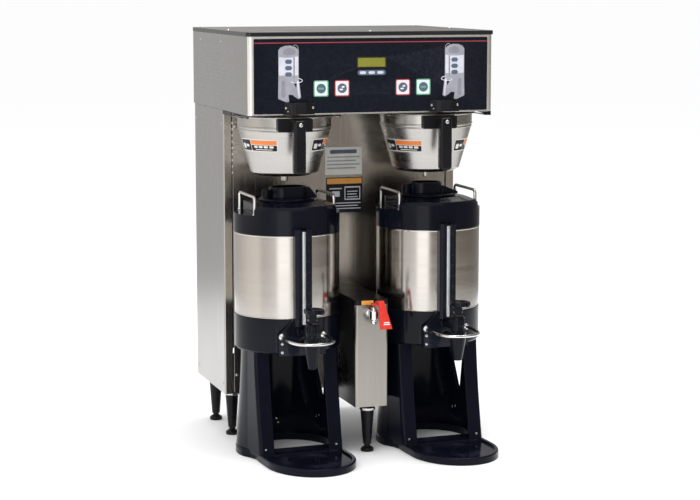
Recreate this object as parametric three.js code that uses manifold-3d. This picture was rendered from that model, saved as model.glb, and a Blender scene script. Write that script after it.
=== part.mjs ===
// Twin commercial coffee brewer with two thermal servers.
// Units are millimetres. +Z is up, +X is to the right of someone facing the brewer, and -Y is the front.
// The origin is on the counter, under the middle of the whole object's box.
import * as THREE from 'three';
import { mergeVertices } from 'three/addons/utils/BufferGeometryUtils.js';
import Module from 'manifold-3d';

const wasm = await Module();
wasm.setup();

// ---------------------------------------------------------------- driving dimensions
const BACK_Y = 314.0;            // back edge of the casing
const GAP = 0.3;                 // clearance between pieces that rest on each other

// hood
const HOOD_HALF_W = 265.7;
const HOOD_FRONT_Y = -155.0;
const HOOD_Z0 = 718.8;
const HOOD_Z1 = 879.0;
const HOOD_R = 10;
const SHEET = 1.8;               // folded sheet thickness
const LID_HALF_W = 267.7;
const LID_FRONT_Y = -157.6;
const LID_Z1 = 887.8;

// trunk
const TRUNK_HALF_W = 263.0;
const TRUNK_FRONT_Y = 62.0;
const TRUNK_Z0 = 101.6;
const TRUNK_Z1 = 718.4;
const FLANGE_W = 18.5;
const SEAM = 2.6;

// centre faucet box
const BOX_HALF_W = 36.4;
const BOX_FRONT_Y = -153.8;
const BOX_Z0 = 101.9;
const BOX_Z1 = 318.8;
const CAP_Z1 = 330.0;

// brew positions
const STATION_X = 157.6;
const STATION_Y = -59.2;

// server
const S_R = 111.4;
const STAND_TOP = 226.7;
const JACKET_Z0 = 300;
const JACKET_Z1 = 472;
const LEDGE_Z = 512;
const DOME_Z = 531;
const LID_TOP = 564;
const LEDGE_X = 81.2;
const LEDGE_Y = 67;
const STAND_TURN = 3;            // degrees that a stand is turned on the counter
const TRAY_W = 93;               // tray half-width
const TRAY_B = 115.05;           // depth of the tray's rounded front
const TAP_Y = -185;

// funnel
const FUNNEL_Y = -45.2;
const FUNNEL_TURN = -4;
const F_R = 98.5;
const F_TOP = 713.5;
const F_CONE_Z1 = 686;
const F_CONE_Z0 = 594;
const F_BOT_R = 71.5;
const F_TIP_Z = 574.5;

// keys
const KEY_W = 28;
const KEY_H = 29.5;
const KEY_Z = 772.3;
const KEY_X = [-111, -66, 66, 111];

// ---------------------------------------------------------------- solids
function toMan(geo) {
  const g = geo.clone();
  for (const a of Object.keys(g.attributes)) if (a !== 'position') g.deleteAttribute(a);
  const m = mergeVertices(g, 1e-4);
  const pos = Float32Array.from(m.attributes.position.array);
  const idx = Uint32Array.from(m.index.array);
  let vol = 0;
  const p = (i) => [pos[3 * i], pos[3 * i + 1], pos[3 * i + 2]];
  const keep = [];
  for (let t = 0; t < idx.length; t += 3) {
    const [i, j, k] = [idx[t], idx[t + 1], idx[t + 2]];
    if (i === j || j === k || i === k) continue;
    const a = p(i), b = p(j), c = p(k);
    vol += a[0] * (b[1] * c[2] - b[2] * c[1]) + a[1] * (b[2] * c[0] - b[0] * c[2]) + a[2] * (b[0] * c[1] - b[1] * c[0]);
    keep.push(i, j, k);
  }
  if (vol < 0) for (let t = 0; t < keep.length; t += 3) [keep[t + 1], keep[t + 2]] = [keep[t + 2], keep[t + 1]];
  return new wasm.Manifold(new wasm.Mesh({ numProp: 3, vertProperties: pos, triVerts: Uint32Array.from(keep) }));
}
function toGeo(man) {
  const m = man.getMesh();
  const g = new THREE.BufferGeometry();
  g.setAttribute('position', new THREE.BufferAttribute(Float32Array.from(m.vertProperties), 3));
  g.setIndex(new THREE.BufferAttribute(Uint32Array.from(m.triVerts), 1));
  g.computeVertexNormals();
  return g;
}
// block between two corners
function block(x0, x1, y0, y1, z0, z1) {
  const g = new THREE.BoxGeometry(x1 - x0, y1 - y0, z1 - z0);
  g.translate((x0 + x1) / 2, (y0 + y1) / 2, (z0 + z1) / 2);
  return toMan(g);
}
// body turned about the vertical axis, from [radius, height] pairs
function turned(pairs, seg = 28, cx = 0, cy = 0) {
  const g = new THREE.LatheGeometry(pairs.map(([r, z]) => new THREE.Vector2(r, z)), seg);
  g.rotateX(Math.PI / 2);
  g.translate(cx, cy, 0);
  return toMan(g);
}
function ring(ro, ri, z0, z1, seg = 28) {
  return turned([[ri, z0], [ro, z0], [ro, z1], [ri, z1], [ri, z0]], seg);
}
// cylinder along Y or Z
function cyl(r, len, seg, axis, x, y, z) {
  const g = new THREE.CylinderGeometry(r, r, len, seg);
  if (axis === 'z') g.rotateX(Math.PI / 2);
  if (axis === 'x') g.rotateZ(Math.PI / 2);
  g.translate(x, y, z);
  return toMan(g);
}
// plan outline pushed up
function plan(points, z0, z1, holes = []) {
  const s = new THREE.Shape(points.map(([x, y]) => new THREE.Vector2(x, y)));
  for (const h of holes) s.holes.push(new THREE.Path(h.map(([x, y]) => new THREE.Vector2(x, y))));
  const g = new THREE.ExtrudeGeometry(s, { depth: z1 - z0, bevelEnabled: false, steps: 1 });
  g.translate(0, 0, z0);
  return toMan(g);
}
// outline in X and Z pushed along Y
function front(points, y0, y1) {
  const s = new THREE.Shape(points.map(([x, z]) => new THREE.Vector2(x, z)));
  const g = new THREE.ExtrudeGeometry(s, { depth: y1 - y0, bevelEnabled: false, steps: 1 });
  g.rotateX(Math.PI / 2);
  g.translate(0, y1, 0);
  return toMan(g);
}
// outline in Y and Z pushed along X
function side(points, x0, x1) {
  const s = new THREE.Shape(points.map(([y, z]) => new THREE.Vector2(y, z)));
  const g = new THREE.ExtrudeGeometry(s, { depth: x1 - x0, bevelEnabled: false, steps: 1 });
  g.rotateZ(Math.PI / 2);
  g.rotateY(Math.PI / 2);
  g.translate(x0, 0, 0);
  return toMan(g);
}
// round bar swept along a path of points
function bar(points, r, sides = 8, steps = 24) {
  const path = new THREE.CatmullRomCurve3(points.map((p) => new THREE.Vector3(...p)), false, 'centripetal');
  const s = new THREE.Shape();
  for (let i = 0; i < sides; i++) {
    const a = (2 * Math.PI * i) / sides;
    if (i) s.lineTo(r * Math.cos(a), r * Math.sin(a)); else s.moveTo(r * Math.cos(a), r * Math.sin(a));
  }
  return toMan(new THREE.ExtrudeGeometry(s, { steps, bevelEnabled: false, extrudePath: path }));
}
function arc(cx, cy, r, a0, a1, n) {
  const out = [];
  for (let i = 0; i <= n; i++) {
    const a = ((a0 + ((a1 - a0) * i) / n) * Math.PI) / 180;
    out.push([cx + r * Math.cos(a), cy + r * Math.sin(a)]);
  }
  return out;
}

// ---------------------------------------------------------------- materials and meshes
const COL = {
  steel: [0x9b958a, 0.35, 1.0], spun: [0xb9b6ae, 0.28, 1.0], black: [0x17181c, 0.42, 0.0],
  gloss: [0x1b2030, 0.2, 0.0], red: [0xe8301c, 0.35, 0.0], chrome: [0xd9dadc, 0.12, 1.0],
  glass: [0xdfe6ea, 0.05, 0.0], pcb: [0x1f5a38, 0.5, 0.0], key: [0xd8dcd6, 0.4, 0.0],
  leg: [0x141519, 0.4, 0.1], tank: [0xa8a7a3, 0.4, 1.0], paper: [0xd8d4c8, 0.8, 0.0],
};
function part(name, man, mat, parent) {
  const [c, roughness, metalness] = COL[mat];
  const mesh = new THREE.Mesh(toGeo(man), new THREE.MeshStandardMaterial({ color: c, roughness, metalness }));
  mesh.name = name;
  parent.add(mesh);
  return mesh;
}

const root = new THREE.Group();

// ---------------------------------------------------------------- hood
{
  const w = HOOD_HALF_W, f = HOOD_FRONT_Y, r = HOOD_R;
  const outer = [[-w, BACK_Y], ...arc(-w + r, f + r, r, 180, 270, 4), ...arc(w - r, f + r, r, 270, 360, 4), [w, BACK_Y]];
  const inner = [[-w + SHEET, BACK_Y + 5], ...arc(-w + r, f + r, r - SHEET, 180, 270, 4), ...arc(w - r, f + r, r - SHEET, 270, 360, 4), [w - SHEET, BACK_Y + 5]];
  let shell = plan(outer, HOOD_Z0, HOOD_Z1).subtract(plan(inner, HOOD_Z0 + SHEET, HOOD_Z1 + 5));
  // openings for the keys, the display and the sprayhead stems
  for (const x of KEY_X) shell = shell.subtract(block(x - KEY_W / 2 - 0.6, x + KEY_W / 2 + 0.6, f - 5, f + 5, KEY_Z - KEY_H / 2 - 0.6, KEY_Z + KEY_H / 2 + 0.6));
  shell = shell.subtract(block(-33.5, 29.5, f - 5, f + 5, 813.5, 835.5));
  for (const s of [-1, 1]) shell = shell.subtract(cyl(13, 20, 16, 'z', s * STATION_X, FUNNEL_Y, HOOD_Z0));
  // the trunk stands open into the hood
  shell = shell.subtract(block(-240, 240, 85, 280, HOOD_Z0 - 5, HOOD_Z0 + 5));
  // the rear cover runs up past the hood floor
  shell = shell.subtract(block(-w + SHEET, w - SHEET, 297, 330, HOOD_Z0 - 5, HOOD_Z0 + SHEET + 0.01));
  part('hood_shell', shell, 'steel', root);

  const lid = block(-LID_HALF_W, LID_HALF_W, LID_FRONT_Y, BACK_Y, HOOD_Z1 + GAP, LID_Z1)
    .subtract(block(-LID_HALF_W + 4, LID_HALF_W - 4, LID_FRONT_Y + 4, BACK_Y - 4, HOOD_Z1 - 5, LID_Z1 - 3));
  part('top_lid', lid, 'black', root);
}

// ---------------------------------------------------------------- rear cover with the supply gland and water inlet
{
  let rear = block(-TRUNK_HALF_W + SHEET + 0.4, TRUNK_HALF_W - SHEET - 0.4, 300, 302, TRUNK_Z0 + SHEET + 0.4, HOOD_Z1 - 0.5);
  rear = rear.add(cyl(14, 10, 12, 'y', -180, 306, 150)).subtract(cyl(7, 40, 12, 'y', -180, 306, 150));
  rear = rear.add(cyl(11, 10, 12, 'y', 180, 306, 150)).subtract(cyl(5.5, 40, 12, 'y', 180, 306, 150));
  part('rear_cover', rear, 'steel', root);
}

// ---------------------------------------------------------------- trunk
{
  const w = TRUNK_HALF_W, f = TRUNK_FRONT_Y;
  let t = block(-w, w, f, BACK_Y - 0.2, TRUNK_Z0, TRUNK_Z1);
  t = t.subtract(block(-w + SHEET, w - SHEET, f + SHEET, BACK_Y + 5, TRUNK_Z0 + SHEET, TRUNK_Z1 + 5));
  t = t.subtract(block(-w + FLANGE_W, w - FLANGE_W, f - 5, f + SHEET + 1, TRUNK_Z0 + SHEET, TRUNK_Z1 + 5));
  part('trunk_shell', t, 'steel', root);
  const pw = w - FLANGE_W - SEAM;
  part('trunk_front_panel', block(-pw, pw, f, f + SHEET, TRUNK_Z0 + SHEET + 1.5, TRUNK_Z1 - 0.4), 'steel', root);
}

// ---------------------------------------------------------------- control panel, board, keys, sensor covers
{
  const y1 = HOOD_FRONT_Y - GAP, y0 = y1 - 0.9;
  let panel = block(-253, 253, y0, y1, 722, 874.2);
  for (const x of KEY_X) panel = panel.subtract(block(x - KEY_W / 2 - 0.5, x + KEY_W / 2 + 0.5, y0 - 1, y1 + 1, KEY_Z - KEY_H / 2 - 0.5, KEY_Z + KEY_H / 2 + 0.5));
  panel = panel.subtract(block(-33, 29, y0 - 1, y1 + 1, 814, 835));
  part('control_panel', panel, 'gloss', root);

  let board = block(-135, 135, -147.4, -145.8, 748, 846);
  for (const x of KEY_X) board = board.add(block(x - 5, x + 5, -149.2, -147, KEY_Z - 5, KEY_Z + 5));
  board = board.add(block(-32, 28, -155.6, -147, 815, 834));
  part('control_board', board, 'pcb', root);

  KEY_X.forEach((x, i) => {
    let key = block(x - KEY_W / 2, x + KEY_W / 2, -156.8, -152.6, KEY_Z - KEY_H / 2, KEY_Z + KEY_H / 2);
    key = key.add(block(x - 3, x + 3, -153, -150.6, KEY_Z - 3, KEY_Z + 3));
    part(['key_left_outer', 'key_left_inner', 'key_right_inner', 'key_right_outer'][i], key, 'key', root);
  });

  for (const [s, name] of [[-1, 'left'], [1, 'right']]) {
    const c = s * STATION_X, y = -156.5;
    let cover = plan([[c - 33, y], [c - 33, y - 3], [c - 16, y - 5], [c - 11, y - 10], [c + 11, y - 10], [c + 16, y - 5], [c + 33, y - 3], [c + 33, y]].reverse(), 720.5, 744.5);
    part('funnel_sensor_cover_' + name, cover, 'black', root);
  }
}

// ---------------------------------------------------------------- sprayheads and funnel rails
for (const [s, name] of [[-1, 'left'], [1, 'right']]) {
  const cx = s * STATION_X;
  part('sprayhead_' + name, turned([[0, 714.2], [40, 714.2], [40, 717], [10, 718.2], [10, 742], [0, 742]], 20, cx, FUNNEL_Y), 'spun', root);
  // channel: top web, two side webs and two feet that carry the funnel's rim
  const prof = [[-107.4, 709.6], [-101, 709.6], [-101, 711], [-105.6, 711], [-105.6, 716.6], [105.6, 716.6], [105.6, 711], [101, 711], [101, 709.6], [107.4, 709.6], [107.4, 718.4], [-107.4, 718.4]];
  let rail = front(prof.map(([x, z]) => [x + cx, z]), -151, 56);
  rail = rail.subtract(cyl(60, 40, 20, 'z', cx, FUNNEL_Y, 715));
  // the inner side of the channel starts further back than the outer one
  rail = rail.subtract(s < 0 ? block(cx - 70, cx + 120, -160, -100, 700, 730) : block(cx - 120, cx + 70, -160, -100, 700, 730));
  part('funnel_rail_' + name, rail, 'black', root);
}

// ---------------------------------------------------------------- hot-water tank on the trunk floor
{
  const z0 = TRUNK_Z0 + SHEET + GAP;
  const tank = turned([[0, z0], [102, z0], [102, 640], [99.5, 640], [99.5, z0 + 3], [0, z0 + 3]], 20, 0, 182);
  part('water_tank', tank, 'tank', root);
}

// ---------------------------------------------------------------- centre faucet box
{
  const w = BOX_HALF_W;
  const fy = BOX_FRONT_Y;
  let body = plan([[-w + 1.6, fy + 30], ...arc(-w + 7, fy + 7, 5.4, 180, 270, 4), ...arc(w - 7, fy + 7, 5.4, 270, 360, 4), [w - 1.6, fy + 30]], BOX_Z0, BOX_Z1);
  body = body.add(block(-w, w, BOX_FRONT_Y + 14.5, TRUNK_FRONT_Y - GAP, BOX_Z0, BOX_Z1));
  body = body.subtract(block(-w + 4, w - 4, BOX_FRONT_Y + 4.5, TRUNK_FRONT_Y - 3, BOX_Z0 + 3, BOX_Z1 + 5));
  body = body.subtract(cyl(8.6, 30, 12, 'y', -4, BOX_FRONT_Y, 303));
  part('faucet_box_body', body, 'black', root);

  const f = BOX_FRONT_Y, r = 7;
  const o = [[-w, f + 14], ...arc(-w + r, f + r, r, 180, 270, 4), ...arc(w - r, f + r, r, 270, 360, 4), [w, f + 14]];
  const i = [[w - 1.2, f + 14], ...arc(w - r, f + r, r - 1.2, 360, 270, 4), ...arc(-w + r, f + r, r - 1.2, 270, 180, 4), [-w + 1.2, f + 14]];
  let sheet = plan([...o, ...i], BOX_Z0, BOX_Z1);
  sheet = sheet.subtract(cyl(8.6, 30, 12, 'y', -4, f, 303));
  part('faucet_box_front', sheet, 'steel', root);

  const ro = [...arc(-w + r, f + r, r, 180, 270, 4), ...arc(w - r, f + r, r, 270, 360, 4), [w, TRUNK_FRONT_Y - GAP], [-w, TRUNK_FRONT_Y - GAP]];
  part('faucet_box_cap', plan(ro, BOX_Z1 + GAP, CAP_Z1), 'black', root);

  // chrome faucet: shank out of the box, valve barrel, down-turned spout
  let tap = cyl(8, 30, 12, 'y', -4, f - 9, 303);
  tap = tap.add(turned([[0, 292], [9.5, 292], [9.5, 312], [5, 318], [0, 318]], 12, -4, f - 24));
  tap = tap.add(turned([[3, 282], [6, 282], [7.5, 294], [3, 294], [3, 282]], 12, -4, f - 24));
  tap = tap.subtract(cyl(3, 60, 8, 'z', -4, f - 24, 268));
  part('hot_water_faucet', tap, 'chrome', root);

  // red lever hung on the faucet's bonnet
  const lever = side([[f - 15, 321.5], [f - 15, 328.5], [f - 33, 333.5], [f - 38, 329], [f - 47, 274], [f - 42, 273], [f - 35.2, 321.5]], -12, 34);
  const keep = front([[1.5, 336], [13.5, 336], [16, 324], [30, 272], [4, 272], [2.5, 306]], f - 60, f + 5);
  const tab = block(-9, 5, f - 29, f - 19, 321.5, 326.5);
  part('hot_water_lever', lever.intersect(keep).add(tab), 'red', root);
}

// ---------------------------------------------------------------- legs
{
  const leg = (x, y, top) => turned([[0, 0], [14, 0], [14, 7], [7, 11], [6, 15], [8.5, 15], [14.5, 89], [17, 89], [17, 95.5], [13, 96], [13, top], [0, top]], 12, x, y);
  part('leg_front_left', leg(-233, 118.6, TRUNK_Z0 - GAP), 'leg', root);
  part('leg_front_right', leg(233, 118.6, TRUNK_Z0 - GAP), 'leg', root);
  part('leg_rear_left', leg(-231, 272.6, TRUNK_Z0 - GAP), 'leg', root);
  part('leg_rear_right', leg(231, 272.6, TRUNK_Z0 - GAP), 'leg', root);
  part('leg_center', leg(0, -122.9, BOX_Z0 - GAP), 'leg', root);
}

// ---------------------------------------------------------------- brew funnels
for (const [s, name] of [[-1, 'left'], [1, 'right']]) {
  const g = new THREE.Group();
  g.position.set(s * STATION_X, FUNNEL_Y, 0);
  g.rotation.z = (FUNNEL_TURN * Math.PI) / 180;
  root.add(g);
  const t = 1.8;
  const cone = turned([
    [4, F_TIP_Z], [8, F_TIP_Z], [8.5, F_TIP_Z + 12], [F_BOT_R - 7, F_CONE_Z0 - 5], [F_BOT_R, F_CONE_Z0 + 1],
    [F_R - 0.6, F_CONE_Z1], [F_R, F_CONE_Z1 + 3], [F_R, F_TOP - 2.2], [104.4, F_TOP - 2.2], [104.4, F_TOP],
    [F_R - t, F_TOP], [F_R - t, F_CONE_Z1 + 2], [F_BOT_R - t, F_CONE_Z0 + 3], [F_BOT_R - 8, F_CONE_Z0 - 2], [4, F_TIP_Z + 14], [4, F_TIP_Z],
  ], 28);
  part('brew_funnel_' + name, cone, 'spun', g);

  // T-shaped handle: plate at the cone, neck and hanging grip
  let h = front([[-37, 687], [-34, 684], [34, 684], [37, 687], [37, 710.6], [-37, 710.6]], -112, -90);
  h = h.subtract(cyl(F_R + 1.2, 60, 28, 'z', 0, 0, 700));
  h = h.add(block(-12, 12, -142, -108, 690, 710.6));
  const grip = front([[-12.5, 606], [-8, 601.2], [8, 601.2], [12.5, 606], [12.5, 706], [8, 710.6], [-8, 710.6], [-12.5, 706]], -156, -132);
  part('funnel_handle_' + name, h.add(grip), 'black', g);

  const basket = turned([[0, 603], [64, 603], [91, 694], [89.5, 694], [62.8, 604.6], [0, 604.6]], 20);
  part('filter_basket_' + name, basket, 'spun', g);
}

// ---------------------------------------------------------------- thermal servers
function standSolid() {
  // flared wall, plan outline of a deep U with inward front flanges, then widened and slanted with height
  const U = (o, k) => [
    [-60, -60 + k], [-92 - o, -60 + k], ...arc(0, 0, 98 + o, 180 + 14, 0 - 14, 16).filter(([x, y]) => y > -24), [92 + o, -60 + k], [60, -60 + k],
  ];
  const outer = U(0, 0);
  const back = arc(0, 0, 93, 180 + 10, 0 - 10, 16).filter(([x, y]) => y > -17);
  const innerLoop = [[60, -55], [87.5, -55], ...back.slice().reverse(), [-87.5, -55], [-60, -55]];
  const shape = new THREE.Shape([...outer, ...innerLoop].map(([x, y]) => new THREE.Vector2(x, y)));
  const g = new THREE.ExtrudeGeometry(shape, { depth: STAND_TOP - 10, bevelEnabled: false, steps: 3 });
  g.translate(0, 0, 10);
  const p = g.attributes.position;
  for (let i = 0; i < p.count; i++) {
    let x = p.getX(i), y = p.getY(i);
    const z = p.getZ(i);
    const s = Math.pow(Math.max(0, (STAND_TOP - z) / STAND_TOP), 1.35);
    const b = Math.min(1, Math.max(0, (y + 60) / 90));
    const f = Math.min(1, Math.max(0, (-y - 5) / 55));
    x *= 1 + 0.125 * s * b;
    y = y * (1 + 0.125 * s * (y > 0 ? 1 : 0)) - 38 * s * f;
    p.setXYZ(i, x, y, z);
  }
  let wall = toMan(g);
  // window in the right-hand wall, three-cornered, wide at the top
  wall = wall.subtract(side([[14.6, 204], [58.6, 204], [50, 162], [38, 97], [34, 97], [22.5, 162]], 60, 140));
  // seat ring under the urn
  const seat = turned([[78, STAND_TOP - 9], [96, STAND_TOP - 9], [96, STAND_TOP], [78, STAND_TOP], [78, STAND_TOP - 9]], 28)
    .subtract(block(-150, 150, -150, -40, 100, 300));
  wall = wall.add(seat);
  // foot: round back lobe, neck and straight-sided drip tray with a rounded front
  const trayOutline = (d) => {
    const w = TRAY_W - d, front = [];
    for (let i = 0; i <= 20; i++) {
      const a = Math.PI + (Math.PI * i) / 20;
      front.push([w * Math.cos(a), -140 + (TRAY_B - d) * Math.sin(a)]);
    }
    return [[-w, -85], ...front, [w, -85]];
  };
  let foot = plan([...arc(0, 0, 113, -13, 193, 26), [-97, -46], [-91, -62], [91, -62], [97, -46]], 0, 14);
  foot = foot.add(plan([[-91, -50], ...trayOutline(0), [91, -50]], 0, 16));
  foot = foot.subtract(turned([[0, -5], [91, -5], [91, 60], [0, 60]], 28).subtract(block(-150, 150, -150, -47, -10, 100)));
  foot = foot.subtract(plan(trayOutline(9), 12, 30));
  foot = foot.subtract(turned([[0, 8], [46, 8], [49, 20], [0, 20]], 20, 0, -147));
  return wall.add(foot);
}
const standGeo = standSolid();

for (const [s, name] of [[-1, 'left'], [1, 'right']]) {
  const g = new THREE.Group();
  g.position.set(s * STATION_X, STATION_Y, 0);
  root.add(g);
  const nm = (n) => 'server_' + n + '_' + name;

  part(nm('stand'), standGeo, 'black', g).rotation.z = (STAND_TURN * Math.PI) / 180;

  // lower housing: cup with a house-shaped shroud in front
  let low = turned([[0, 227], [109, 227], [111.4, 230], [111.4, 299.7], [107, 299.7], [107, 232], [0, 232]], 28);
  const shroud = front([[-50, 224], [50, 224], [50, 270], [21, 299.7], [-21, 299.7], [-50, 270]], -117.5, -92)
    .subtract(turned([[0, 200], [108, 200], [108, 320], [0, 320]], 28));
  low = low.add(shroud).subtract(cyl(7, 60, 12, 'y', 0, -100, 252));
  part(nm('lower_housing'), low, 'black', g);

  part(nm('steel_jacket'), ring(110.9, 109.1, JACKET_Z0, JACKET_Z1 - GAP), 'steel', g);

  let top = turned([
    [107, JACKET_Z1], [111.4, JACKET_Z1], [111.4, DOME_Z - 6], [107, DOME_Z], [78, DOME_Z + 5], [66, 541], [48, 541],
    [48, 509], [102, 505], [107, 500], [107, JACKET_Z1],
  ], 28);
  top = top.subtract(block(LEDGE_X, 200, -LEDGE_Y, LEDGE_Y, LEDGE_Z, 700)).subtract(block(-200, -LEDGE_X, -LEDGE_Y, LEDGE_Y, LEDGE_Z, 700));
  part(nm('upper_housing'), top, 'black', g);

  // double-walled vessel, open at the neck
  part(nm('vacuum_liner'), turned([
    [0, 240], [90, 240], [97, 248], [97, 480], [70, 498], [46, 503], [46, 537], [43.6, 537], [43.6, 500],
    [68, 494], [94, 477], [94, 250], [88, 243], [0, 243],
  ], 20), 'tank', g);

  // lid: plug, disc and oblong cup with a through hole
  let lid = turned([[39, 523], [42.8, 523], [42.8, 541.3], [59, 541.3], [59, 545], [54, 550], [39, 550], [39, 523]], 20);
  lid = lid.add(turned([[0, 541.3], [42, 541.3], [42, 546], [0, 546]], 20));
  const L = name === 'left' ? 20 : 4, W = name === 'left' ? 30 : 29;
  const oval = [...arc(L, 0, W, -90, 90, 8), ...arc(-L, 0, W, 90, 270, 8)];
  const oval2 = [...arc(L, 0, W - 4, -90, 90, 8), ...arc(-L, 0, W - 4, 90, 270, 8)];
  lid = lid.add(plan(oval, 544, LID_TOP)).subtract(plan(oval2, 556, LID_TOP + 5)).subtract(cyl(7, 80, 12, 'z', 0, 0, 550));
  part(nm('lid'), lid, 'black', g);

  // spine in front of the jacket with a groove for the sight tube
  let guard = block(-18, 18, -130, -111.8, 287, 487).subtract(block(-7, 7, -140, -118.5, 290.5, 483.5));
  guard = guard.subtract(block(-30, 30, -117.9, -100, 280, 300.1));
  part(nm('gauge_guard'), guard, 'black', g);
  part(nm('sight_tube'), turned([[3.6, 291], [5, 291], [5, 483], [3.6, 483], [3.6, 291]], 10, 0, -125), 'glass', g);

  // tap body: shank, barrel and spout cone with its outlet
  let tap = cyl(9, 62, 14, 'y', 0, -150, 277);
  tap = tap.add(turned([[5, 209], [9, 209], [17.5, 257], [17.5, 270], [14, 272], [14, 298], [5, 298], [5, 209]], 16, 0, TAP_Y));
  tap = tap.subtract(cyl(5, 60, 12, 'z', 0, TAP_Y, 230)).add(turned([[0, 262], [13, 262], [13, 302], [0, 302]], 16, 0, TAP_Y));
  part(nm('tap_body'), tap, 'black', g);

  // tap lever: forked stem and horseshoe paddle
  let lever = block(-9, 9, TAP_Y - 5, TAP_Y + 5, 306, 326);
  const shoe = plan([...arc(0, TAP_Y - 18, 20, 0, -180, 10), ...arc(0, TAP_Y - 8, 20, 180, 90, 5), ...arc(0, TAP_Y - 8, 20, 90, 0, 5)], 325, 334);
  lever = lever.add(shoe).subtract(block(-4, 4, TAP_Y - 48, TAP_Y - 11, 300, 340).intersect(cyl(11, 60, 16, 'z', 0, TAP_Y - 24, 330)));
  part(nm('tap_lever'), lever, 'black', g);

  // wire guard round the tap
  const w = [[-45, -118, 266], [-45.5, -135, 266], [-46, -165, 266], [-44, -190, 265.5], [-34, -209, 265], [-14, -220.5, 265], [14, -220.5, 265], [34, -209, 265], [44, -190, 265.5], [46, -165, 266], [45.5, -135, 266], [45, -118, 266]];
  part(nm('cup_guard'), bar(w, 2.7, 6, 22), 'chrome', g);

  for (const [hs, hn] of [[-1, 'a'], [1, 'b']]) {
    const hx = hs * 85.2;
    const pts = [[hx, -60, LEDGE_Z + GAP], [hx, -60, 528], [hx, -60, 540], [hx, -58, 546], [hx, -52, 549], [hx, 0, 549], [hx, 52, 549], [hx, 58, 546], [hx, 60, 540], [hx, 60, 528], [hx, 60, LEDGE_Z + GAP]];
    part('server_carry_handle_' + hn + '_' + name, bar(pts, 3.2, 6, 20), 'chrome', g);
  }
}

export default root;
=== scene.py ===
"""Looks of the twin commercial coffee brewer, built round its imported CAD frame. Lengths in this file are millimetres
until they reach a mesh, where they become metres. Every place is taken from the frame's boxes."""
import math

import bmesh
import bpy
from mathutils import Matrix, Vector


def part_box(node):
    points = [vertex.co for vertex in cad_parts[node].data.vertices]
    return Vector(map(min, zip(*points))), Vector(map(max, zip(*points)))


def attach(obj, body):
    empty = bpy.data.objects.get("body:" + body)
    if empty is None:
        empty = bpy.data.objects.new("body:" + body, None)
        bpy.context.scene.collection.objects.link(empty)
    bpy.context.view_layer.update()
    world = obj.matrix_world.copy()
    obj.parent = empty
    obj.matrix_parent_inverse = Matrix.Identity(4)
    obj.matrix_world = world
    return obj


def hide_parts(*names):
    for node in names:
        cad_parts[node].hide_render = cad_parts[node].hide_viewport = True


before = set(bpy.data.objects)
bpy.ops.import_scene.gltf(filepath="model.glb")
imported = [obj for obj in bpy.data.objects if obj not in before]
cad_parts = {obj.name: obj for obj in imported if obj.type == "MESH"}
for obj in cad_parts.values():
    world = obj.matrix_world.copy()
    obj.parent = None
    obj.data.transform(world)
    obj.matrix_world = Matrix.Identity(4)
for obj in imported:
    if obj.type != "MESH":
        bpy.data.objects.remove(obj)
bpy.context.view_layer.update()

pi, cos, sin, rad = math.pi, math.cos, math.sin, math.radians
SCENE = bpy.context.scene


# ------------------------------------------------------------------ places
def bx(node):
    lo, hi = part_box(node)
    return Vector([v * 1000 for v in lo]), Vector([v * 1000 for v in hi])


# ------------------------------------------------------------------ shape helpers
def finish_mesh(ob, angle=32):
    me = ob.data
    me.shade_smooth()
    me.set_sharp_from_angle(angle=rad(angle))
    return ob


def mk(name, verts, faces, angle=32, fix=True):
    me = bpy.data.meshes.new(name)
    me.from_pydata([(v[0] / 1000, v[1] / 1000, v[2] / 1000) for v in verts], [], faces)
    me.validate()
    ob = bpy.data.objects.new(name, me)
    SCENE.collection.objects.link(ob)
    if fix:
        bm = bmesh.new()
        bm.from_mesh(me)
        bmesh.ops.remove_doubles(bm, verts=bm.verts, dist=1e-7)
        bmesh.ops.recalc_face_normals(bm, faces=bm.faces)
        bm.to_mesh(me)
        bm.free()
    return finish_mesh(ob, angle)


def fil(pts, r=0.0, n=5, closed=True):
    """Rounds the corners of an outline. A point may carry its own radius as a third number."""
    out, m = [], len(pts)
    for i, p in enumerate(pts):
        rr = p[2] if len(p) > 2 else r
        b = Vector(p[:2])
        if (not closed and i in (0, m - 1)) or rr <= 1e-6:
            out.append((b.x, b.y))
            continue
        u, v = Vector(pts[i - 1][:2]) - b, Vector(pts[(i + 1) % m][:2]) - b
        lu, lv = u.length, v.length
        if lu < 1e-9 or lv < 1e-9:
            continue
        u, v = u / lu, v / lv
        ang = math.acos(max(-1.0, min(1.0, u.dot(v))))
        if ang > pi - 0.03 or ang < 0.02:
            out.append((b.x, b.y))
            continue
        t = min(rr / math.tan(ang / 2), 0.49 * lu, 0.49 * lv)
        re = t * math.tan(ang / 2)
        c = b + (u + v).normalized() * (re / sin(ang / 2))
        p1, p2 = b + u * t - c, b + v * t - c
        a1, a2 = math.atan2(p1.y, p1.x), math.atan2(p2.y, p2.x)
        d = (a2 - a1 + pi) % (2 * pi) - pi
        for k in range(n + 1):
            a = a1 + d * k / n
            out.append((c.x + re * cos(a), c.y + re * sin(a)))
    return out


def arc(cx, cy, r, a0, a1, n):
    return [(cx + r * cos(rad(a0 + (a1 - a0) * i / n)), cy + r * sin(rad(a0 + (a1 - a0) * i / n))) for i in range(n + 1)]


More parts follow.
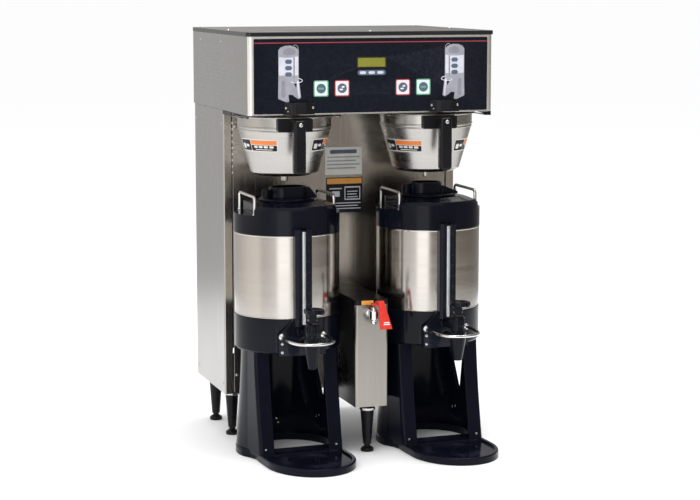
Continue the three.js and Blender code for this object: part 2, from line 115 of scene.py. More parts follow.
def lathe(name, prof, seg=96, cx=0.0, cy=0.0, r=0.0, n=4, angle=32, turn=0.0):
    """Turns a [radius, height] outline about the vertical line through cx, cy."""
    on_axis = prof[0][0] < 1e-6 and prof[-1][0] < 1e-6
    P = fil(prof, r, n, closed=not on_axis)
    verts, rings = [], []
    for rr, z in P:
        if rr < 1e-6:
            rings.append([len(verts)])
            verts.append((cx, cy, z))
            continue
        ring = []
        for s in range(seg):
            a = 2 * pi * s / seg + turn
            ring.append(len(verts))
            verts.append((cx + rr * cos(a), cy + rr * sin(a), z))
        rings.append(ring)
    faces = []
    pairs = list(zip(rings[:-1], rings[1:])) + ([] if on_axis else [(rings[-1], rings[0])])
    for a, b in pairs:
        if len(a) == 1 and len(b) == 1:
            continue
        for s in range(seg):
            t = (s + 1) % seg
            if len(a) == 1:
                faces.append((a[0], b[t], b[s]))
            elif len(b) == 1:
                faces.append((a[s], a[t], b[0]))
            else:
                faces.append((a[s], a[t], b[t], b[s]))
    return mk(name, verts, faces, angle)


def area2(pts):
    return sum(a[0] * b[1] - b[0] * a[1] for a, b in zip(pts, pts[1:] + pts[:1])) / 2


def inset(pts, d):
    """Moves a counter-clockwise outline inwards by d."""
    out, m = [], len(pts)
    for i in range(m):
        a, b, c = Vector(pts[i - 1]), Vector(pts[i]), Vector(pts[(i + 1) % m])
        e1, e2 = b - a, c - b
        if e1.length < 1e-9 or e2.length < 1e-9:
            out.append((b.x, b.y))
            continue
        n1, n2 = Vector((-e1.y, e1.x)).normalized(), Vector((-e2.y, e2.x)).normalized()
        nn = n1 + n2
        if nn.length < 1e-6:
            out.append((b.x, b.y))
            continue
        nn.normalize()
        k = d / max(0.35, nn.dot(n1))
        out.append((b.x + nn.x * k, b.y + nn.y * k))
    return out


def prism(name, pts, a, b, axis="z", bev=0.0, nb=3, bev2=None, angle=32):
    """Pushes an outline along an axis from a to b, with rounded ends: bev at b and bev2 at a."""
    clean = []
    for p in pts:
        if not clean or (Vector(p) - Vector(clean[-1])).length > 1e-4:
            clean.append((p[0], p[1]))
    if (Vector(clean[0]) - Vector(clean[-1])).length <= 1e-4:
        clean.pop()
    pts = clean
    if area2(pts) < 0:
        pts = pts[::-1]
    if bev2 is None:
        bev2 = bev
    levels = []
    if bev2 > 0:
        levels += [(a + bev2 * (1 - cos(pi / 2 * k / nb)), bev2 * (1 - sin(pi / 2 * k / nb))) for k in range(nb + 1)]
    else:
        levels.append((a, 0))
    if bev > 0:
        levels += [(b - bev * (1 - sin(pi / 2 * k / nb)), bev * (1 - cos(pi / 2 * k / nb))) for k in range(nb + 1)]
    else:
        levels.append((b, 0))
    m = len(pts)
    place = {"z": lambda p, h: (p[0], p[1], h), "y": lambda p, h: (p[0], h, p[1]), "x": lambda p, h: (h, p[0], p[1])}[axis]
    verts, faces = [], []
    for h, d in levels:
        ring = inset(pts, d) if d > 1e-9 else pts
        verts += [place(p, h) for p in ring]
    L = len(levels)
    for k in range(L - 1):
        for i in range(m):
            j = (i + 1) % m
            faces.append((k * m + i, k * m + j, (k + 1) * m + j, (k + 1) * m + i))
    faces.append(tuple(range(m))[::-1])
    faces.append(tuple((L - 1) * m + i for i in range(m)))
    return mk(name, verts, faces, angle)


def rect(x0, x1, y0, y1, r=0.0, n=5):
    return fil([(x0, y0), (x1, y0), (x1, y1), (x0, y1)], r, n)


def rbox(name, x0, x1, y0, y1, z0, z1, r=1.0, n=3):
    """Box with all its edges rounded."""
    me = bpy.data.meshes.new(name)
    bm = bmesh.new()
    bmesh.ops.create_cube(bm, size=1.0)
    for v in bm.verts:
        v.co = Vector(((x0 if v.co.x < 0 else x1) / 1000, (y0 if v.co.y < 0 else y1) / 1000, (z0 if v.co.z < 0 else z1) / 1000))
    if r > 0:
        bmesh.ops.bevel(bm, geom=list(bm.edges), offset=r / 1000, segments=n, profile=0.5, affect="EDGES", clamp_overlap=True)
    bmesh.ops.recalc_face_normals(bm, faces=bm.faces)
    bm.to_mesh(me)
    bm.free()
    ob = bpy.data.objects.new(name, me)
    SCENE.collection.objects.link(ob)
    return finish_mesh(ob, 40)


def fil3(pts, r, n=7):
    """Rounds the corners of a path in space."""
    P = [Vector(p) for p in pts]
    out = [P[0]]
    for i in range(1, len(P) - 1):
        b = P[i]
        u, v = P[i - 1] - b, P[i + 1] - b
        lu, lv = u.length, v.length
        u, v = u / lu, v / lv
        ang = u.angle(v)
        if ang > pi - 0.02:
            out.append(b)
            continue
        t = min(r / math.tan(ang / 2), 0.49 * lu, 0.49 * lv)
        re = t * math.tan(ang / 2)
        c = b + (u + v).normalized() * (re / sin(ang / 2))
        e1, e2 = (b + u * t - c).normalized(), (b + v * t - c).normalized()
        tot = e1.angle(e2)
        for k in range(n + 1):
            a = tot * k / n
            out.append(c + (e1 * sin(tot - a) + e2 * sin(a)) / sin(tot) * re)
    out.append(P[-1])
    return out


def spline(pts, per=8):
    P = [Vector(p) for p in pts]
    P = [2 * P[0] - P[1]] + P + [2 * P[-1] - P[-2]]
    out = []
    for i in range(1, len(P) - 2):
        for k in range(per):
            t = k / per
            a, b, c, d = P[i - 1], P[i], P[i + 1], P[i + 2]
            out.append(0.5 * ((2 * b) + (c - a) * t + (2 * a - 5 * b + 4 * c - d) * t * t + (3 * b - a - 3 * c + d) * t ** 3))
    out.append(P[-2])
    return out


def tube(name, path, r, sides=18, round_ends=True):
    """Round bar along a path, with rounded ends."""
    P = [Vector(p) for p in path]
    P = [p for i, p in enumerate(P) if i == 0 or (p - P[i - 1]).length > 1e-4]
    tang = [(P[min(i + 1, len(P) - 1)] - P[max(i - 1, 0)]).normalized() for i in range(len(P))]
    ref = Vector((0, 0, 1)) if abs(tang[0].z) < 0.9 else Vector((1, 0, 0))
    n = (ref - tang[0] * ref.dot(tang[0])).normalized()
    rings = []
    stations = []
    if round_ends:
        for k in (0.02, 0.35, 0.7):
            stations.append((P[0] - tang[0] * r * 0.45 * (1 - k), tang[0], r * math.sqrt(1 - (1 - k) ** 2) + 0.02))
    stations += [(p, t, r) for p, t in zip(P, tang)]
    if round_ends:
        for k in (0.7, 0.35, 0.02):
            stations.append((P[-1] + tang[-1] * r * 0.45 * (1 - k), tang[-1], r * math.sqrt(1 - (1 - k) ** 2) + 0.02))
    verts, faces = [], []
    prev = stations[0][1]
    for p, t, rr in stations:
        ax = prev.cross(t)
        if ax.length > 1e-8:
            n = Matrix.Rotation(prev.angle(t), 3, ax.normalized()) @ n
        n = (n - t * n.dot(t)).normalized()
        prev = t
        b = t.cross(n)
        verts += [p + (n * cos(2 * pi * s / sides) + b * sin(2 * pi * s / sides)) * rr for s in range(sides)]
    for k in range(len(stations) - 1):
        for s in range(sides):
            u = (s + 1) % sides
            faces.append((k * sides + s, k * sides + u, (k + 1) * sides + u, (k + 1) * sides + s))
    faces.append(tuple(range(sides))[::-1])
    faces.append(tuple((len(stations) - 1) * sides + s for s in range(sides)))
    return mk(name, verts, faces, 50)


def boolean(ob, tools, op="DIFFERENCE", angle=32):
    tools = tools if isinstance(tools, (list, tuple)) else [tools]
    for t in tools:
        m = ob.modifiers.new("b", "BOOLEAN")
        m.operation, m.object, m.solver = op, t, "EXACT"
    bpy.context.view_layer.update()
    dg = bpy.context.evaluated_depsgraph_get()
    me = bpy.data.meshes.new_from_object(ob.evaluated_get(dg))
    ob.modifiers.clear()
    if len(me.vertices) < 8:
        raise RuntimeError("a cut left nothing of " + ob.name)
    old, ob.data = ob.data, me
    bpy.data.meshes.remove(old)
    for t in tools:
        tm = t.data
        bpy.data.objects.remove(t)
        bpy.data.meshes.remove(tm)
    bm = bmesh.new()
    bm.from_mesh(ob.data)
    bmesh.ops.remove_doubles(bm, verts=bm.verts, dist=2e-6)
    bmesh.ops.dissolve_degenerate(bm, edges=bm.edges, dist=1e-6)
    bm.to_mesh(ob.data)
    bm.free()
    return finish_mesh(ob, angle)


def soften(ob, width, seg=2, angle=40):
    """Rounds the sharp edges that a cut left."""
    m = ob.modifiers.new("soft", "BEVEL")
    m.width, m.segments, m.limit_method, m.angle_limit = width / 1000, seg, "ANGLE", rad(angle)
    m.use_clamp_overlap, m.harden_normals, m.miter_outer = True, False, "MITER_ARC"
    bpy.context.view_layer.update()
    dg = bpy.context.evaluated_depsgraph_get()
    me = bpy.data.meshes.new_from_object(ob.evaluated_get(dg))
    ob.modifiers.clear()
    old, ob.data = ob.data, me
    bpy.data.meshes.remove(old)
    return finish_mesh(ob, 40)


def join(name, obs, angle=32):
    bm = bmesh.new()
    for o in obs:
        bm.from_mesh(o.data)
    me = bpy.data.meshes.new(name)
    bm.to_mesh(me)
    bm.free()
    for o in obs:
        om = o.data
        bpy.data.objects.remove(o)
        bpy.data.meshes.remove(om)
    ob = bpy.data.objects.new(name, me)
    SCENE.collection.objects.link(ob)
    return finish_mesh(ob, angle)


def spin(ob, deg, cx, cy):
    """Turns a piece about the vertical line through cx, cy, in its mesh."""
    c = Vector((cx / 1000, cy / 1000, 0))
    ob.data.transform(Matrix.Translation(c) @ Matrix.Rotation(rad(deg), 4, "Z") @ Matrix.Translation(-c))
    return ob


def tilt(ob, deg, axis, at):
    c = Vector([v / 1000 for v in at])
    ob.data.transform(Matrix.Translation(c) @ Matrix.Rotation(rad(deg), 4, axis) @ Matrix.Translation(-c))
    return ob


def shift(ob, x=0, y=0, z=0):
    ob.data.transform(Matrix.Translation(Vector((x / 1000, y / 1000, z / 1000))))
    return ob


def screw(name, x, y, z, face, d=6.0, h=1.8, slot=True, ang=25):
    """Pan-head screw whose head looks along face: -y, +y, -x, +x, -z or +z."""
    r = d / 2
    head = lathe(name, [(0, 0), (r, 0), (r, h * 0.35), (r * 0.8, h * 0.8), (r * 0.4, h), (0, h)], 28, r=0.25 * h, n=3)
    if slot:
        w = d * 0.14
        a = rbox("t1", -r * 0.62, r * 0.62, -w / 2, w / 2, h * 0.45, h * 2, 0)
        b = rbox("t2", -w / 2, w / 2, -r * 0.62, r * 0.62, h * 0.45, h * 2, 0)
        head = boolean(head, [a, b])
    head.data.transform(Matrix.Rotation(rad(ang), 4, "Z"))
    turn = {"-y": ("X", 90), "+y": ("X", -90), "-x": ("Y", -90), "+x": ("Y", 90), "-z": ("X", 180), "+z": ("X", 0)}[face]
    head.data.transform(Matrix.Rotation(rad(turn[1]), 4, turn[0]))
    head.name = head.data.name = name
    return shift(head, x, y, z)


# ------------------------------------------------------------------ materials
class Mat:
    def __init__(self, name):
        self.m = bpy.data.materials.new(name)
        self.m.use_nodes = True
        self.t = self.m.node_tree
        self.n = self.t.nodes
        self.p = self.n["Principled BSDF"]
        self.tc = self.n.new("ShaderNodeTexCoord")
        self.bumps = None

    def link(self, a, b):
        self.t.links.new(a, b)

    def mapping(self, scale, rot=(0, 0, 0), loc=(0, 0, 0)):
        m = self.n.new("ShaderNodeMapping")
        m.inputs["Scale"].default_value = scale
        m.inputs["Rotation"].default_value = rot
        m.inputs["Location"].default_value = loc
        self.link(self.tc.outputs["Object"], m.inputs["Vector"])
        return m.outputs["Vector"]

    def noise(self, vec, scale=1.0, detail=3.0, rough=0.55, dist=0.0):
        x = self.n.new("ShaderNodeTexNoise")
        x.inputs["Scale"].default_value = scale
        x.inputs["Detail"].default_value = detail
        x.inputs["Roughness"].default_value = rough
        x.inputs["Distortion"].default_value = dist
        self.link(vec, x.inputs["Vector"])
        return x.outputs["Fac"]

    def ramp(self, fac, stops):
        r = self.n.new("ShaderNodeValToRGB")
        e = r.color_ramp.elements
        while len(e) < len(stops):
            e.new(0.5)
        for el, (p, c) in zip(e, stops):
            el.position = p
            el.color = (c, c, c, 1) if isinstance(c, (int, float)) else (*c, 1)
        self.link(fac, r.inputs["Fac"])
        return r.outputs["Color"]

    def rng(self, fac, a, b, c, d):
        r = self.n.new("ShaderNodeMapRange")
        for k, v in zip(("From Min", "From Max", "To Min", "To Max"), (a, b, c, d)):
            r.inputs[k].default_value = v
        self.link(fac, r.inputs["Value"])
        return r.outputs["Result"]

    def mix(self, fac, a, b, kind="MIX"):
        x = self.n.new("ShaderNodeMix")
        x.data_type, x.blend_type = "RGBA", kind
        if hasattr(fac, "node"):
            self.link(fac, x.inputs["Factor"])
        else:
            x.inputs["Factor"].default_value = fac
        for s, v in ((6, a), (7, b)):
            if hasattr(v, "node"):
                self.link(v, x.inputs[s])
            else:
                x.inputs[s].default_value = (*v, 1)
        return x.outputs[2]

    def math(self, op, a, b):
        x = self.n.new("ShaderNodeMath")
        x.operation = op
        for i, v in enumerate((a, b)):
            if hasattr(v, "node"):
                self.link(v, x.inputs[i])
            else:
                x.inputs[i].default_value = v
        return x.outputs[0]

    def bump(self, height, strength, distance):
        b = self.n.new("ShaderNodeBump")
        b.inputs["Strength"].default_value = strength
        b.inputs["Distance"].default_value = distance
        self.link(height, b.inputs["Height"])
        if self.bumps is not None:
            self.link(self.bumps, b.inputs["Normal"])
        self.bumps = b.outputs["Normal"]
        self.link(self.bumps, self.p.inputs["Normal"])

    def set(self, **kw):
        for k, v in kw.items():
            self.p.inputs[k.replace("_", " ")].default_value = v
        return self

    def wear(self, lo, hi):
        g = self.n.new("ShaderNodeNewGeometry")
        return self.rng(g.outputs["Pointiness"], lo, hi, 0.0, 1.0)


def steel(name, base, grain, rough=(0.2, 0.34), streak=0.06, bump=0.05, patch=0.10, warm=None, wave=0.008, broadly=0.16):
    """Brushed sheet: fine scratches along one direction, faint cloudy patches and handling marks."""
    M = Mat(name)
    fine = {"z": (1100, 1100, 3), "x": (3, 3, 1300), "round": (9, 9, 1500), "y": (900, 6, 900)}[grain]
    broad = {"z": (190, 190, 0.8), "x": (1.0, 1.0, 190), "round": (2, 2, 60), "y": (60, 1.2, 60)}[grain]
    f = M.noise(M.mapping(fine), 1.0, 3.0, 0.6)
    g = M.noise(M.mapping(broad), 1.0, 3.0, 0.5)
    c = M.noise(M.mapping((5, 5, 3.4)), 1.0, 3.0, 0.5, 0.3)
    lo = tuple(v * (1 - streak) for v in base)
    hi = tuple(min(1, v * (1 + streak)) for v in base)
    col = M.mix(M.rng(f, 0.3, 0.7, 0, 1), lo, hi)
    wtone = warm or (0.93, 0.90, 0.86)
    col2 = M.mix(M.rng(c, 0.35, 0.75, 0, patch * 3), col, tuple(v * w for v, w in zip(base, wtone)))
    col3 = M.mix(M.rng(g, 0.38, 0.72, 0.0, broadly), col2, tuple(v * 0.86 for v in base))
    M.link(col3, M.p.inputs["Base Color"])
    mid = (rough[0] + rough[1]) / 2
    r1 = M.rng(g, 0.3, 0.7, rough[0], rough[1])
    r2 = M.rng(c, 0.3, 0.75, -(mid * 0.08), mid * 0.12)
    M.link(M.math("ADD", r1, r2), M.p.inputs["Roughness"])
    M.bump(f, bump, 0.0002)
    M.bump(c, wave, 0.004)
    M.set(Metallic=1.0)
    return M.m


def plastic(name, base, rough=(0.26, 0.42), grain=0.06, edge=1.9, spec=0.32, coat=0.0, cloud=0.22, scale=1400):
    """Moulded plastic: fine texture, cloudy gloss, faint dust and worn edges."""
    M = Mat(name)
    fine = M.noise(M.mapping((scale,) * 3), 1.0, 2.0, 0.5)
    c = M.noise(M.mapping((11, 11, 7)), 1.0, 4.0, 0.6, 0.4)
    s = M.noise(M.mapping((170, 170, 150)), 1.0, 3.0, 0.7)
    col = M.mix(M.rng(c, 0.3, 0.7, 0, 1), tuple(v * (1 - cloud) for v in base), tuple(min(1, v * (1 + cloud)) for v in base))
    w = M.wear(0.52, 0.60)
    col2 = M.mix(M.math("MULTIPLY", w, M.rng(s, 0.35, 0.7, 0.25, 0.9)), col, tuple(min(1, v * edge + 0.01) for v in base))
    M.link(col2, M.p.inputs["Base Color"])
    r1 = M.rng(c, 0.3, 0.7, rough[0], rough[1])
    r2 = M.rng(s, 0.3, 0.75, -0.012, 0.03)
    M.link(M.math("ADD", r1, r2), M.p.inputs["Roughness"])
    M.bump(fine, grain, 0.0003)
    M.set(Specular_IOR_Level=spec, Coat_Weight=coat, Coat_Roughness=0.12)
    return M.m


def printed(name, base, var=0.08, rough=(0.3, 0.45)):
    """Ink or label stock: slight mottling and a faint fibre."""
    M = Mat(name)
    f = M.noise(M.mapping((700, 700, 700)), 1.0, 2.0, 0.6)
    c = M.noise(M.mapping((30, 30, 30)), 1.0, 3.0, 0.6)
    col = M.mix(M.rng(c, 0.3, 0.7, 0, 1), tuple(v * (1 - var) for v in base), tuple(min(1, v * (1 + var)) for v in base))
    M.link(col, M.p.inputs["Base Color"])
    M.link(M.rng(f, 0.3, 0.7, rough[0], rough[1]), M.p.inputs["Roughness"])
    M.bump(f, 0.04, 0.0001)
    M.set(Specular_IOR_Level=0.2 if max(base) < 0.2 else 0.4)
    return M.m


def chrome(name, base=(0.78, 0.78, 0.77), rough=(0.08, 0.2)):
    M = Mat(name)
    f = M.noise(M.mapping((500, 500, 500)), 1.0, 3.0, 0.6)
    c = M.noise(M.mapping((25, 25, 25)), 1.0, 3.0, 0.6)
    M.link(M.mix(M.rng(c, 0.35, 0.7, 0, 1), base, tuple(v * 0.82 for v in base)), M.p.inputs["Base Color"])
    M.link(M.rng(f, 0.3, 0.75, rough[0], rough[1]), M.p.inputs["Roughness"])
    M.bump(f, 0.04, 0.0001)
    M.set(Metallic=1.0)
    return M.m


STEEL_SIDE = steel("sheet_steel_side", (0.41, 0.405, 0.398), "z", (0.27, 0.31), streak=0.028, bump=0.010, broadly=0.06)
STEEL_HOOD = steel("sheet_steel_hood", (0.41, 0.405, 0.398), "x", (0.26, 0.29), streak=0.025, bump=0.006, broadly=0.05)
# brighter copy of the hood steel for the hood's front face and front corner rounds: painted highlight
STEEL_HOOD_PAINTED_HIGHLIGHT = steel("sheet_steel_hood_painted_highlight", (0.84, 0.83, 0.81), "x", (0.40, 0.48), streak=0.04, bump=0.01, broadly=0.05)
STEEL_FRONT = steel("sheet_steel_front", (0.46, 0.43, 0.395), "z", (0.21, 0.27), streak=0.06, bump=0.025, broadly=0.1)
STEEL_BOX = steel("sheet_steel_box", (0.345, 0.328, 0.302), "z", (0.27, 0.33), streak=0.028, bump=0.010, broadly=0.05)
STEEL_JACKET = steel("jacket_steel", (0.525, 0.502, 0.473), "round", (0.13, 0.2), streak=0.05, bump=0.03, wave=0.004)
STEEL_SPUN = steel("spun_steel", (0.46, 0.45, 0.432), "round", (0.24, 0.3), streak=0.05, bump=0.03, wave=0.0, broadly=0.06)
TANK = steel("tank_steel", (0.55, 0.54, 0.52), "round", (0.3, 0.45))
BLACK = plastic("black_moulding", (0.006, 0.0062, 0.008), (0.24, 0.36), spec=0.2)
SERVER = plastic("server_moulding", (0.0034, 0.0042, 0.0085), (0.09, 0.15), edge=2.6, grain=0.03, spec=0.15)
STAND = plastic("stand_moulding", (0.004, 0.005, 0.011), (0.08, 0.14), grain=0.02, edge=2.6, spec=0.10)
LIDTOP = plastic("lid_moulding", (0.010, 0.011, 0.013), (0.13, 0.2), grain=0.03, spec=0.45)
OVERLAY = plastic("panel_overlay_film", (0.0042, 0.0056, 0.0102), (0.16, 0.22), grain=0.015, cloud=0.1, spec=0.10)
KEYCAP = plastic("key_mint", (0.62, 0.74, 0.70), (0.3, 0.4), edge=1.05, cloud=0.04)
KEYCAP2 = plastic("key_rose", (0.78, 0.66, 0.68), (0.3, 0.4), edge=1.05, cloud=0.04)
CHROME = chrome("bright_wire")
CHROME2 = chrome("bright_plate", (0.82, 0.83, 0.83), (0.05, 0.14))
ZINC = chrome("screw_zinc", (0.66, 0.66, 0.64), (0.18, 0.34))
RED = plastic("lever_red", (0.58, 0.026, 0.013), (0.28, 0.4), edge=1.3, cloud=0.10, grain=0.06)
BOARD = plastic("board_mask", (0.03, 0.14, 0.07), (0.3, 0.45), edge=1.4)
INK_RED = printed("ink_red", (0.30, 0.035, 0.045))
INK_GREY = printed("ink_grey", (0.30, 0.30, 0.34), 0.16)
INK_PALE = printed("ink_pale", (0.56, 0.57, 0.64), 0.12)
INK_TICK = printed("ink_tick", (0.075, 0.075, 0.09), 0.18)
INK_MID = printed("ink_mid", (0.22, 0.22, 0.26), 0.18)
INK_DARK = printed("ink_dark", (0.012, 0.015, 0.026))
INK_SLATE = printed("ink_slate", (0.085, 0.115, 0.165))
INK_GREEN = printed("ink_green", (0.10, 0.36, 0.20))
INK_RIM_RED = printed("ink_rim_red", (0.42, 0.02, 0.04))
INK_WHITE = printed("ink_white", (0.78, 0.80, 0.84))
LABEL_WHITE = printed("label_white", (0.66, 0.65, 0.61))
LABEL_BLACK = printed("label_black", (0.010, 0.010, 0.014))
LABEL_ORANGE = printed("label_orange", (0.72, 0.20, 0.045))
LABEL_AMBER = printed("label_amber", (0.74, 0.33, 0.055))


def display_material():
    M = Mat("display_glass")
    ch = M.n.new("ShaderNodeTexBrick")
    ch.offset = 0.0
    ch.inputs["Scale"].default_value = 1.0
    ch.inputs["Mortar Size"].default_value = 0.06
    ch.inputs["Brick Width"].default_value = 1.0
    ch.inputs["Row Height"].default_value = 1.4
    ch.inputs["Color1"].default_value = (0.205, 0.205, 0.022, 1)
    ch.inputs["Color2"].default_value = (0.215, 0.212, 0.026, 1)
    ch.inputs["Mortar"].default_value = (0.225, 0.225, 0.035, 1)
    mp = M.n.new("ShaderNodeMapping")
    mp.inputs["Rotation"].default_value = (rad(-90), 0, 0)
    mp.inputs["Scale"].default_value = (290, 290, 290)
    M.link(M.tc.outputs["Object"], mp.inputs["Vector"])
    M.link(mp.outputs["Vector"], ch.inputs["Vector"])
    g = M.noise(M.mapping((30, 30, 60)), 1.0, 2.0, 0.5)
    col = M.mix(M.rng(g, 0.3, 0.7, 0.0, 0.5), ch.outputs["Color"], (0.16, 0.155, 0.02))
    M.link(col, M.p.inputs["Base Color"])
    M.link(M.rng(g, 0.3, 0.7, 0.08, 0.16), M.p.inputs["Roughness"])
    M.set(Coat_Weight=0.3)
    return M.m


def tube_glass():
    M = Mat("sight_glass")
    c = M.noise(M.mapping((120, 120, 20)), 1.0, 2.0, 0.5)
    # the pale milky base colour lightens the whole tube: painted highlight standing in for the bright glint along the
    # glass
    M.link(M.mix(M.rng(c, 0.3, 0.7, 0, 1), (0.9, 0.92, 0.96), (0.82, 0.85, 0.9)), M.p.inputs["Base Color"])
    M.link(M.rng(c, 0.3, 0.7, 0.03, 0.07), M.p.inputs["Roughness"])
    M.set(Transmission_Weight=0.72, IOR=1.5, Coat_Weight=1.0, Coat_IOR=2.3)
    return M.m


DISPLAY = display_material()
GLASS = tube_glass()


def put(ob, body, mat, nodes=(), mats=None):
    ob.data.materials.clear()
    ob.data.materials.append(mat)
    if len(ob.data.polygons) > 5 and not ob.modifiers:
        w = ob.modifiers.new("flat", "WEIGHTED_NORMAL")
        w.keep_sharp, w.weight = True, 60
    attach(ob, body)
    if nodes:
        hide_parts(*([nodes] if isinstance(nodes, str) else nodes))
    return ob


# ------------------------------------------------------------------ hood
hlo, hhi = bx("hood_shell")
HX, HF, HB, HZ0, HZ1 = hhi.x, hlo.y, hhi.y, hlo.z, hhi.z
llo, lhi = bx("top_lid")
KEYS = ["key_left_outer", "key_left_inner", "key_right_inner", "key_right_outer"]
key_box = {k: bx(k) for k in KEYS}
clo, chi = bx("control_panel")
chi.z = clo.z + 152.2
DX0, DX1, DZ0, DZ1 = -33.0, 29.0, clo.z + 92, clo.z + 113
plo = clo
stations = {}
for side, sgn in (("left", -1), ("right", 1)):
    a, b = bx("server_steel_jacket_" + side)
    f0, f1 = bx("brew_funnel_" + side)
    stations[side] = dict(s=sgn, cx=(a.x + b.x) / 2, cy=(a.y + b.y) / 2, fx=(f0.x + f1.x) / 2, fy=(f0.y + f1.y) / 2)


def hood():
    o = prism("hood_skin", fil([(-HX, HB, 2.5), (-HX, HF, 10), (HX, HF, 10), (HX, HB, 2.5)], n=10), HZ0, HZ1, "z", 0.4, 2, 1.2)
    w = 1.8
    inner = prism("t", fil([(-HX + w, HB + 9, 0), (-HX + w, HF + w, 8.4), (HX - w, HF + w, 8.4), (HX - w, HB + 9, 0)], n=8), HZ0 + w, HZ1 + 9)
    tools = [inner]
    for k in KEYS:
        a, b = key_box[k]
        tools.append(rbox("t", a.x - 0.6, b.x + 0.6, HF - 6, HF + 6, a.z - 0.6, b.z + 0.6, 0))
    tools.append(rbox("t", DX0 - 0.5, DX1 + 0.5, HF - 6, HF + 6, DZ0 - 0.5, DZ1 + 0.5, 0))
    for st in stations.values():
        tools.append(lathe("t", [(0, HZ0 - 9), (13, HZ0 - 9), (13, HZ0 + 9), (0, HZ0 + 9)], 40, st["fx"], st["fy"]))
    tools.append(rbox("t", -240, 240, 85, 280, HZ0 - 5, HZ0 + 5, 0))
    tools.append(rbox("t", -HX + w, HX - w, 297, 330, HZ0 - 5, HZ0 + w + 0.01, 0))
    o = boolean(o, tools)
    put(o, "brewer", STEEL_HOOD, "hood_shell")
    # front-facing faces near the hood's front take the brighter copy of the steel: painted highlight on the front lip
    # and front corners
    o.data.materials.append(STEEL_HOOD_PAINTED_HIGHLIGHT)
    for f in o.data.polygons:
        if f.normal.y < -0.4 and abs(f.normal.z) < 0.8 and f.center.y * 1000 < HF + 12:
            f.material_index = 1
    # folded hem along the bottom edge of the front
    hem = tube("hood_hem", [(-HX + 9, HF + 0.9, HZ0 + 1.0), (HX - 9, HF + 0.9, HZ0 + 1.0)], 1.25, 12)
    put(hem, "brewer", STEEL_SPUN, ())
    for s in (-1, 1):
        for y in (60, 240):
            q = screw("hood_side_screw_%s_%d" % ("r" if s > 0 else "l", y), s * HX, y, HZ1 - 14, "+x" if s > 0 else "-x", 6.5, 1.6)
            put(q, "brewer", ZINC)


hood()
lid = prism("lid_cover", fil([(llo.x, lhi.y), (llo.x, llo.y), (lhi.x, llo.y), (lhi.x, lhi.y)], 9, 8), llo.z, lhi.z, "z", 1.6, 4, 0.6)
lid = boolean(lid, [rbox("t", llo.x + 6, lhi.x - 6, llo.y + 6, lhi.y - 6, llo.z - 3, lhi.z - 3.2, 1)])
put(lid, "brewer", LIDTOP, "top_lid")
put(screw("lid_screw_front", -4.5, llo.y + 5, lhi.z - 0.1, "+z", 7, 1.7), "brewer", ZINC)
for i, (x, y) in enumerate(((-250, 296), (250, 296), (-250, 60), (250, 60))):
    put(screw("lid_screw_%d" % i, x, y, lhi.z - 0.1, "+z", 7, 1.5), "brewer", ZINC)

# ------------------------------------------------------------------ control panel
PY = clo.y


